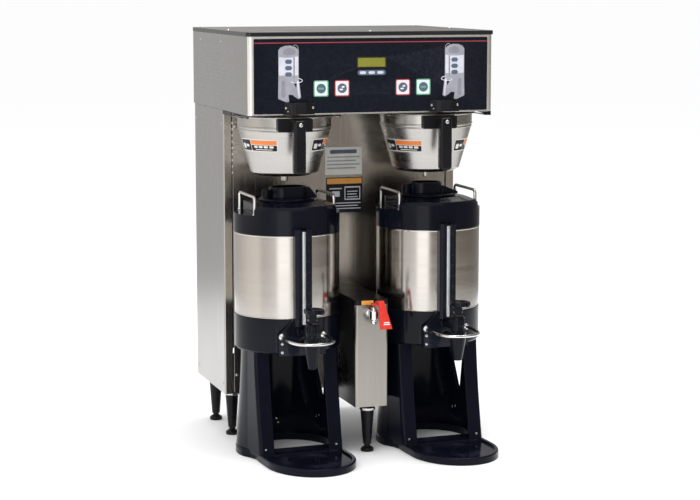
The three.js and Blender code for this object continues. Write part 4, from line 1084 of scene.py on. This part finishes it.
# ------------------------------------------------------------------ servers
def stand_mesh(name, cx, cy):
    ST = 226.7
    half_out = [(60, -60, 1.8), (92, -60, 6)]
    arc_pts = [p for p in arc(0, 0, 98, -14, 194, 72)]
    outer = fil([(-60, -60, 1.8), (-92, -60, 6)], closed=False)
    path = [(-60, -60, 1.8), (-92, -60, 7)] + [(x, y, 0) for x, y in arc_pts[::-1]] + [(92, -60, 7), (60, -60, 1.8)]
    back = arc(0, 0, 93.4, -10, 190, 72)
    inner = [(60, -55.4, 1.8), (87.5, -55.4, 4)] + [(x, y, 0) for x, y in back] + [(-87.5, -55.4, 4), (-60, -55.4, 1.8)]
    # the arc is listed from one end to the other so that the outline runs once round the wall
    pts = fil(path + inner, 0, 6)
    zs = [10 + (ST - 10) * (k / 34) for k in range(35)]
    verts, faces, m = [], [], len(pts)
    for z in zs:
        s = max(0.0, (ST - z) / ST) ** 1.35
        for x, y in pts:
            b = min(1.0, max(0.0, (y + 60) / 90))
            b = b * b * (3 - 2 * b)
            f = min(1.0, max(0.0, (-y - 5) / 55))
            verts.append((x * (1 + 0.125 * s * b), y * (1 + 0.125 * s * (1 if y > 0 else 0)) - 38 * s * f, z))
    for k in range(len(zs) - 1):
        for i in range(m):
            j = (i + 1) % m
            faces.append((k * m + i, k * m + j, (k + 1) * m + j, (k + 1) * m + i))
    faces.append(tuple(range(m))[::-1])
    faces.append(tuple((len(zs) - 1) * m + i for i in range(m)))
    wall = mk(name, verts, faces, 34)
    win = fil([(14.6, 204, 4), (58.6, 204, 4), (50, 162, 40), (38, 97, 1.9), (34, 97, 1.9), (22.5, 162, 40)], n=7)
    wall = boolean(wall, [prism("t", win, 62, 145, "x")])
    rib_v, rib_f = [], []
    line = [(72, 205), (72, 184), (68, 140), (62, 92), (55, 66), (46, 44), (36, 26)]
    stations_ = []
    for (ya, za), (yb, zb) in zip(line[:-1], line[1:]):
        for k in range(6):
            stations_.append((ya + (yb - ya) * k / 6, za + (zb - za) * k / 6))
    stations_.append(line[-1])
    for y, z in stations_:
        s = max(0.0, (ST - z) / ST) ** 1.35
        depth = min(9.0, (205 - z) * 0.12 + 3.0, (z - 20) * 0.4 + 2.0)
        for rr, dy in ((96, -1.4), (93.4 - depth, -1.4), (93.4 - depth, 1.4), (96, 1.4)):
            y0 = y + dy
            x0 = math.sqrt(rr * rr - y0 * y0)
            b = min(1.0, max(0.0, (y0 + 60) / 90))
            b = b * b * (3 - 2 * b)
            rib_v.append((x0 * (1 + 0.125 * s * b), y0 * (1 + 0.125 * s), z))
    for k in range(len(stations_) - 1):
        for i in range(4):
            j = (i + 1) % 4
            rib_f.append((k * 4 + i, k * 4 + j, (k + 1) * 4 + j, (k + 1) * 4 + i))
    rib_f.append((3, 2, 1, 0))
    rib_f.append(tuple((len(stations_) - 1) * 4 + i for i in range(4)))
    rib = mk("t", rib_v, rib_f, 34)
    wall = boolean(wall, [rib], "UNION")
    seat = lathe("t", [(78, ST - 9, 2), (95.5, ST - 9, 2), (95.5, ST - 0.2, 1), (78, ST - 0.2, 1)], 120, n=3)
    seat = boolean(seat, [rbox("t", -150, 150, -150, -40, 100, 300, 0)])
    # foot
    W, B = 93.0, 115.05
    front = [(W * cos(pi + pi * i / 48), -140 + B * sin(pi + pi * i / 48)) for i in range(49)]
    outline = [(x, y, 0) for x, y in arc(0, 0, 110.6, -13, 193, 80)] + [(-98, -44, 26), (-91.5, -64, 22), (-93, -88, 30)] + [(x, y, 0) for x, y in front] + [(93, -88, 30), (91.5, -64, 22), (98, -44, 26)]
    foot = prism("t", fil(outline, 0, 7), 0, 15.8, "z", 3.4, 5, 0.9)
    hole = prism("t", [(x, y) for x, y in arc(0, 0, 91, -31, 211, 72)], -9, 60)
    k = 8.5
    frn = [((W - k) * cos(pi + pi * i / 48), -140 + (B - k) * sin(pi + pi * i / 48)) for i in range(49)]
    dish = prism("t", fil([(-(W - k), -92, 10)] + [(x, y, 0) for x, y in frn] + [((W - k), -92, 10)], 0, 6), 11.4, 40, "z", 0, 4, 3.0)
    well = lathe("t", [(0, 7.2), (46, 7.2), (48.6, 11.6), (48.6, 30), (0, 30)], 96, 0, -147, r=1.2)
    foot = boolean(foot, [hole, dish, well])
    o = boolean(wall, [seat, foot], "UNION", 34)
    o = soften(o, 0.9, 2, 48)
    finish_mesh(o, 34)
    shift(o, cx, cy, 0)
    spin(o, 3.0, cx, cy)
    o.name = name
    return o


stand_left = None
for side, st in stations.items():
    cx, cy, s = st["cx"], st["cy"], st["s"]
    body = "server_" + side
    N = lambda x: "server_%s_%s" % (x, side)
    j0, j1 = bx(N("steel_jacket"))
    u0, u1 = bx(N("upper_housing"))
    l0, l1 = bx(N("lower_housing"))
    JZ0, JZ1 = j0.z, j1.z
    R = 111.4

    if stand_left is None:
        stand = stand_mesh("stand_" + side, cx, cy)
        stand_left = (stand, cx, cy)
    else:
        stand = stand_left[0].copy()
        stand.data = stand_left[0].data.copy()
        stand.name = "stand_" + side
        stand.parent = None
        SCENE.collection.objects.link(stand)
        for key in list(stand.keys()):
            if key.startswith("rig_"):
                del stand[key]
        shift(stand, cx - stand_left[1], cy - stand_left[2], 0)
    put(stand, body, STAND, N("stand"))
    for i, (x, y, z, f) in enumerate(((-79.5, -93.5, 22, "-y"), (76, -93.5, 22, "-y"))):
        sc = screw("stand_screw_%s_%d" % (side, i), cx + x, cy + y - 0.6, z + 4, "-y", 5.0, 1.6)
        put(spin(sc, 3.0, cx, cy), body, ZINC)
    for i, (x, y, z) in enumerate(((2.6, 95.5, 47), (6.5, 95.8, 38))):
        sc = screw("stand_back_screw_%s_%d" % (side, i), cx + x, cy + y, z, "-y", 5.2, 1.8)
        put(sc, body, ZINC)
    for i, (x, y, z) in enumerate(((81.0, 54.0, 56), (85.0, 46.5, 59))):
        sc = screw("stand_side_screw_%s_%d" % (side, i), cx + x, cy + y, z, "-x", 5.0, 1.8)
        put(sc, body, ZINC)

    # lower housing with its shroud
    low = lathe("t", [(0, l0.z + 3), (108.6, l0.z + 3), (R, l0.z + 6.4), (R, JZ0 - 0.5), (107, JZ0 - 0.5), (107, l0.z + 8), (0, l0.z + 8)], 144, r=1.2)
    sh = prism("t", fil([(-50, 224.2, 3), (50, 224.2, 3), (50, 270, 6), (21, 299.4, 3), (-21, 299.4, 3), (-50, 270, 6)], n=5), -117.5, -92, "y", 1.0, 2, 2.2)
    sh = boolean(sh, [lathe("t", [(0, 200), (109, 200), (109, 320), (0, 320)], 120)])
    low = boolean(low, [sh], "UNION")
    hole = lathe("t", [(0, -20), (7, -20), (7, 20), (0, 20)], 36)
    tilt(hole, 90, "X", (0, 0, 0))
    shift(hole, 0, -110, 252)
    low = boolean(low, [hole])
    low = soften(low, 0.6, 2, 50)
    shift(low, cx, cy, 0)
    low.name = "lower_cup_" + side
    put(low, body, SERVER, N("lower_housing"))
    for i, (x, z) in enumerate(((-44, 251), (-44, 233), (43.5, 263))):
        put(screw("shroud_screw_%s_%d" % (side, i), cx + x, cy - 117.3, z, "-y", 6.4, 2.0, ang=30 * i), body, ZINC)

    # steel jacket with a folded bead at each end
    jk = lathe("jacket_" + side, [(109.1, JZ0), (110.7, JZ0), (111.1, JZ0 + 1.2), (110.8, JZ0 + 2.6), (110.8, JZ1 - 2.6), (111.1, JZ1 - 1.2), (110.7, JZ1), (109.1, JZ1)], 192, cx, cy, r=0.4, n=3)
    put(jk, body, STEEL_JACKET, N("steel_jacket"))
    # lock seam at the back
    seam = rbox("jacket_seam_" + side, cx - 3.5, cx + 3.5, cy + 110.4, cy + 112.0, JZ0 + 3, JZ1 - 3, 0.6, 2)
    put(seam, body, STEEL_JACKET)

    # upper housing: band, shoulder, two handle pockets, neck collar
    Z = u0.z
    up = lathe("t", [(107, Z, 0.3), (R, Z, 0.8), (R, Z + 51.5, 3), (107, Z + 58.4, 3), (80, Z + 61.0, 8), (66, Z + 63.2, 2), (48.2, Z + 63.2, 1), (48.2, Z + 37, 0.5), (100, Z + 33, 1), (106.8, Z + 27, 1)], 168, n=5)
    tools = []
    for h in (-1, 1):
        tools.append(prism("t", rect(min(h * 81.3, h * 150), max(h * 81.3, h * 150), -67, 67, 5, 5), Z + 40, Z + 120, "z", 0, 3, 2.0))
    up = boolean(up, tools)
    up = soften(up, 0.8, 2, 48)
    shift(up, cx, cy, 0)
    up.name = "upper_cap_" + side
    put(up, body, SERVER, N("upper_housing"))
    A0 = rad(-90)

    # liner stays as it is inside
    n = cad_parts[N("vacuum_liner")]
    n.data.materials.clear()
    n.data.materials.append(TANK)

    # lid
    b_lid = "server_lid_" + side
    k0, k1 = bx(N("lid"))
    DZ = Z + 63.5
    lid = lathe("t", [(40, 518.4, 0.5), (42.6, 518.4, 0.8), (42.6, DZ + 0.1, 0.4), (58.4, DZ + 0.1, 1.2), (58.8, DZ + 3.4, 1.2), (55, DZ + 5.9, 2.0), (39, DZ + 6, 0.4), (39, DZ + 0.2, 0.4)], 120, n=4)
    L, W, C = (13.0, 28.2, 3.5) if side == "left" else (6.5, 28.7, -5.5)
    ov = lambda w: arc(C + L, 0, w, -90, 90, 24) + arc(C - L, 0, w, 90, 270, 24)
    cup = prism("t", ov(W), DZ + 2, k1.z, "z", 1.8, 4, 0)
    hollow = prism("t", ov(W - 4.0), 555.5, 600, "z")
    plug = lathe("t", [(0, DZ + 0.4), (43, DZ + 0.4), (43, DZ + 5.2), (0, DZ + 5.2)], 96)
    lid = boolean(lid, [plug], "UNION")
    lid = boolean(lid, [cup], "UNION")
    ft = 562 if side == "left" else 556
    e = C + L + W
    flap = prism("t", fil([(e - 5, 539), (e - 5, ft), (e + 2, ft, 2), (63, 543.2, 1.2), (63, 538.8, 1.2), (50, 538.8)], n=4), -13.5, 13.5, "y")
    knuckle = lathe("t", [(0, 539), (8.5, 539), (8.5, 557), (7.2, 559.6), (0, 560.4)], 40, -47, 0, r=1.2)
    ring_ = lathe("t", [(8.0, 546), (9.2, 546.6), (9.2, 551), (8.0, 551.6)], 40, -47, 0, r=0.3)
    lid = boolean(lid, [flap], "UNION")
    lid = boolean(lid, [knuckle], "UNION")
    bore = lathe("t", [(0, 500), (7, 500), (7, 600), (0, 600)], 40)
    lid = boolean(lid, [hollow, bore])
    recess = prism("t", fil([(e + 3.5, ft + 4), (e + 3.5, ft - 2.4), (60.5, 545.2), (72, 545.2), (72, ft + 4)], n=2), -10.5, 10.5, "y")
    lid = boolean(lid, [recess])
    lid = join("t", [lid, ring_])
    lid = soften(lid, 0.6, 2, 52)
    shift(lid, cx, cy, 0)
    lid.name = "lid_cup_" + side
    spin(lid, 8 if side == "left" else -6, cx, cy)
    put(lid, b_lid, SERVER, N("lid"))

    # spine with the sight tube
    g0, g1 = bx(N("gauge_guard"))
    sp = prism("t", fil([(-18, -106), (-18, -126, 3.5), (-12, -130, 3), (-4.7, -130, 0.6), (-4.7, -128.4, 0.2), (-6.6, -127.2, 0.2), (-6.6, -118.6, 1), (6.6, -118.6, 1), (6.6, -127.2, 0.2), (4.7, -128.4, 0.2), (4.7, -130, 0.6), (12, -130, 3), (18, -126, 3.5), (18, -106)], n=4), g0.z, g1.z, "z", 0.0)
    endlo = rbox("t", -7.6, 7.6, -129.4, -112, g0.z + 0.5, g0.z + 4.0, 0)
    endhi = rbox("t", -7.6, 7.6, -129.4, -112, g1.z - 4.0, g1.z - 0.5, 0)
    clear = lathe("t", [(0, 270), (112.2, 270), (112.2, 500), (0, 500)], 160)
    clear2 = rbox("t", -30, 30, -117.9, -100, 280, 300.1, 0)
    sp = boolean(sp, [endlo, endhi], "UNION")
    sp = boolean(sp, [clear, clear2])
    sp = soften(sp, 0.5, 2, 50)
    shift(sp, cx, cy, 0)
    sp.name = "spine_" + side
    put(sp, body, SERVER, N("gauge_guard"))
    gl = lathe("sight_glass_" + side, [(3.5, g0.z + 4.0), (5.1, g0.z + 4.0), (5.1, g1.z - 4.0), (3.5, g1.z - 4.0)], 40, cx, cy - 124.6, r=0.3)
    put(gl, body, GLASS, N("sight_tube"))
    for i, z in enumerate(range(int(g0.z) + 24, int(g1.z) - 10, 22)):
        put(rbox("gauge_tick_%s_%d" % (side, i), cx + 8.2, cx + 10.6, cy - 130.2, cy - 129.4, z, z + 1.0, 0.15, 1), body, INK_TICK)

    # tap
    t0, t1 = bx(N("tap_body"))
    TY = t0.y + 17.5
    LY = TY - cy
    shank = lathe("t", [(0, 0), (9, 0), (9, 62), (0, 62)], 40, r=0.6)
    tilt(shank, 90, "X", (0, 0, 0))
    shift(shank, 0, -119, 277)
    flange = lathe("t", [(0, 0), (13.5, 0), (13.5, 3), (12, 4.2), (0, 4.2)], 48, r=0.6)
    tilt(flange, 90, "X", (0, 0, 0))
    shift(flange, 0, -117.7, 277)
    cone = lathe("t", [(5.2, t0.z, 0.5), (8.8, t0.z, 0.8), (9.6, t0.z + 3, 1), (17.2, t0.z + 46, 3), (17.4, t0.z + 60, 1.5), (14.4, t0.z + 62.6, 1), (14.2, t0.z + 72, 1), (14.8, t0.z + 73.5, 0.5), (14.8, t0.z + 76, 0.5), (14.0, t0.z + 77.4, 1), (13.6, 300, 2), (11, 302, 1), (5.2, 302, 0.5)], 64, 0, LY, n=3)
    core = lathe("t", [(0, 262), (12, 262), (12, 301.8), (0, 301.8)], 48, 0, LY)
    ribs = []
    for i in range(16):
        aa = 2 * pi * i / 16
        ribs.append(spin(rbox("t", -0.8, 0.8, LY - 15.3, LY - 13.4, 285.5, 297, 0.5, 2), math.degrees(aa), 0, LY))
    tap = boolean(shank, [cone], "UNION")
    tap = boolean(tap, [core, flange], "UNION")
    tap = join("tap_" + side, [tap] + ribs)
    shift(tap, cx, cy, 0)
    put(tap, body, SERVER, N("tap_body"))

    stem = rbox("t", -8.4, 8.4, LY - 5, LY + 5, 306, 327, 1.6, 3)
    outl = arc(0, LY - 18, 20, 0, -180, 28) + arc(0, LY - 8, 20, 180, 0, 28)
    shoe = prism("t", outl, 325, 334, "z", 2.2, 4)
    notch = lathe("t", [(0, 300), (9.5, 300), (9.5, 345), (0, 345)], 48, 0, LY - 24)
    slotp = rbox("t", -4.2, 4.2, LY - 48, LY - 20, 300, 345, 0)
    pad = lathe("t", [(0, 331.6), (12.5, 331.6), (15.5, 334.6), (15.5, 345), (0, 345)], 60, 0, LY - 6, r=1.0)
    lv = boolean(shoe, [stem], "UNION")
    lv = boolean(lv, [pad])
    lv = boolean(lv, [prism("t", rect(-6.2, 6.2, LY - 39, LY - 30, 2), 300, 345)])
    lv = soften(lv, 0.8, 2, 50)
    notch_m, slot_m = notch.data, slotp.data
    bpy.data.objects.remove(notch)
    bpy.data.objects.remove(slotp)
    shift(lv, cx, cy, 0)
    lv.name = "tap_paddle_" + side
    put(lv, "tap_lever_" + side, SERVER, N("tap_lever"))
    pin = lathe("tap_pin_" + side, [(0, -9.6), (2.4, -9.6), (2.4, 9.6), (0, 9.6)], 24, r=0.5)
    tilt(pin, 90, "Y", (0, 0, 0))
    shift(pin, cx, cy + LY, 310)
    put(pin, "tap_lever_" + side, ZINC)

    # wire guard round the tap, with pressed ends
    w = [(-45, -117.6, 266), (-45.5, -135, 266), (-46, -165, 266), (-44, -190, 265.5), (-34, -209, 265), (-14, -220.5, 265), (14, -220.5, 265), (34, -209, 265), (44, -190, 265.5), (46, -165, 266), (45.5, -135, 266), (45, -117.6, 266)]
    path = spline([(cx + x, cy + y, z) for x, y, z in w], 9)
    gd = tube("guard_wire_" + side, path, 3.1, 20)
    put(gd, body, CHROME, N("cup_guard"))
    for i, x in enumerate((-45, 45)):
        e = lathe("guard_boss_%s_%d" % (side, i), [(0, 0), (6.6, 0), (6.6, 1.6), (5.2, 3.0), (3.2, 4.4), (0, 4.4)], 36, r=0.5)
        tilt(e, 90, "X", (0, 0, 0))
        shift(e, cx + x, cy - 117.4, 266)
        put(e, body, CHROME)

    # carry handles
    for h, hn in ((-1, "a"), (1, "b")):
        hx = cx + h * 85.2
        zb = Z + 40.3
        pth = fil3([(hx, cy - 60, zb), (hx, cy - 60, Z + 77), (hx, cy + 60, Z + 77), (hx, cy + 60, zb)], 9, 9)
        wr = tube("carry_wire_%s_%s" % (hn, side), pth, 3.3, 20)
        feet = []
        for yy in (-60, 60):
            feet.append(lathe("t", [(0, zb - 0.2), (5.0, zb - 0.2), (5.0, zb + 1.4), (3.6, zb + 2.6), (0, zb + 2.6)], 28, hx, cy + yy, r=0.4))
        put(wr, body, CHROME, "server_carry_handle_%s_%s" % (hn, side))
        put(join("carry_feet_%s_%s" % (hn, side), feet), body, CHROME)

# ------------------------------------------------------------------ camera, floor, light
cam_data = bpy.data.cameras.new("camera")
cam = bpy.data.objects.new("camera", cam_data)
SCENE.collection.objects.link(cam)
cam_data.sensor_width, cam_data.lens = 36.0, 101.96
cam_data.clip_start, cam_data.clip_end = 0.05, 400
cam.location = (-1.30387, -4.03223, 0.99495)
cam.rotation_euler = (rad(90 - 7.797), 0, rad(-17.94))
SCENE.camera = cam

fm = bpy.data.materials.new("floor_paint")
fm.use_nodes = True
fp = fm.node_tree.nodes["Principled BSDF"]
fp.inputs["Base Color"].default_value = (0.98, 0.98, 0.982, 1)
fp.inputs["Roughness"].default_value = 0.9
fp.inputs["Specular IOR Level"].default_value = 0.0
me = bpy.data.meshes.new("floor")
me.from_pydata([(-60, -60, -0.0002), (60, -60, -0.0002), (60, 120, -0.0002), (-60, 120, -0.0002)], [], [(0, 1, 2, 3)])
floor = bpy.data.objects.new("floor", me)
SCENE.collection.objects.link(floor)
me.materials.append(fm)

wd = bpy.data.worlds.new("studio")
SCENE.world = wd
wd.use_nodes = True
wn = wd.node_tree.nodes
bg = wn["Background"]
bg.inputs["Color"].default_value = (1.0, 1.0, 1.0, 1)
bg.inputs["Strength"].default_value = 1.0


def softbox(name, loc, aim, size, power, glossy=True):
    d = bpy.data.lights.new(name, "AREA")
    d.shape, d.size, d.size_y, d.energy = "RECTANGLE", size[0], size[1], power
    o = bpy.data.objects.new(name, d)
    SCENE.collection.objects.link(o)
    o.location = loc
    o.rotation_euler = (Vector(aim) - Vector(loc)).to_track_quat("-Z", "Y").to_euler()
    o.visible_glossy = glossy
    return o


softbox("key_light", (-2.2, -2.8, 3.2), (0, 0, 0.4), (2.4, 2.4), 60, False)
softbox("top_light", (0.3, 0.2, 3.4), (0, 0, 0), (1.7, 1.7), 60, True)


# a ring of reflectors that only polished surfaces see
def reflector():
    Rr, H0, H1, seg = 2.1, 0.0, 3.2, 96
    verts, faces = [], []
    for i in range(seg):
        a = 2 * pi * i / seg
        for z in (H0, H1):
            verts.append((Rr * cos(a), Rr * sin(a), z))
    for i in range(seg):
        j = (i + 1) % seg
        faces.append((2 * i, 2 * j, 2 * j + 1, 2 * i + 1))
    m = bpy.data.meshes.new("reflectors")
    m.from_pydata(verts, [], faces)
    o = bpy.data.objects.new("reflectors", m)
    SCENE.collection.objects.link(o)
    mt = bpy.data.materials.new("reflector_glow")
    mt.use_nodes = True
    t = mt.node_tree
    for nn in list(t.nodes):
        t.nodes.remove(nn)
    out = t.nodes.new("ShaderNodeOutputMaterial")
    em = t.nodes.new("ShaderNodeEmission")
    tc = t.nodes.new("ShaderNodeTexCoord")
    mp = t.nodes.new("ShaderNodeMapping")
    # angle is measured from the direction that faces the camera, to the right
    mp.inputs["Rotation"].default_value = (0, 0, rad(-252.06))
    gr = t.nodes.new("ShaderNodeTexGradient")
    gr.gradient_type = "RADIAL"
    cr = t.nodes.new("ShaderNodeValToRGB")
    stops = [(-180, (0.50, 0.49, 0.48)), (-150, (0.66, 0.65, 0.64)), (-136, (0.60, 0.59, 0.58)), (-108, (0.80, 0.76, 0.72)),
             (-84, (1.02, 0.97, 0.91)), (-61, (1.10, 1.05, 0.98)), (-50, (0.80, 0.76, 0.72)), (-38, (0.84, 0.81, 0.78)),
             (-24, (1.0, 0.98, 0.95)), (-17, (1.9, 1.88, 1.86)), (3, (1.9, 1.88, 1.86)), (8, (0.60, 0.56, 0.52)), (15, (0.34, 0.31, 0.28)),
             (30, (0.30, 0.27, 0.25)), (40, (0.38, 0.35, 0.31)), (58, (0.30, 0.27, 0.23)), (78, (0.24, 0.21, 0.18)),
             (110, (0.22, 0.20, 0.18)), (140, (0.32, 0.30, 0.28)), (180, (0.50, 0.49, 0.48))]
    el = cr.color_ramp.elements
    while len(el) < len(stops):
        el.new(0.5)
    for e, (d, c) in zip(el, stops):
        e.position = (d + 180) / 360
        e.color = (*[v / 2 for v in c], 1)
    em.inputs["Strength"].default_value = 2.0
    t.links.new(tc.outputs["Object"], mp.inputs["Vector"])
    t.links.new(mp.outputs["Vector"], gr.inputs["Vector"])
    t.links.new(gr.outputs["Fac"], cr.inputs["Fac"])
    t.links.new(cr.outputs["Color"], em.inputs["Color"])
    t.links.new(em.outputs["Emission"], out.inputs["Surface"])
    m.materials.append(mt)
    o.visible_camera = o.visible_diffuse = o.visible_transmission = o.visible_volume_scatter = o.visible_shadow = False
    return o


reflector()
SCENE.view_settings.view_transform = "Standard"
SCENE.view_settings.look = "None"
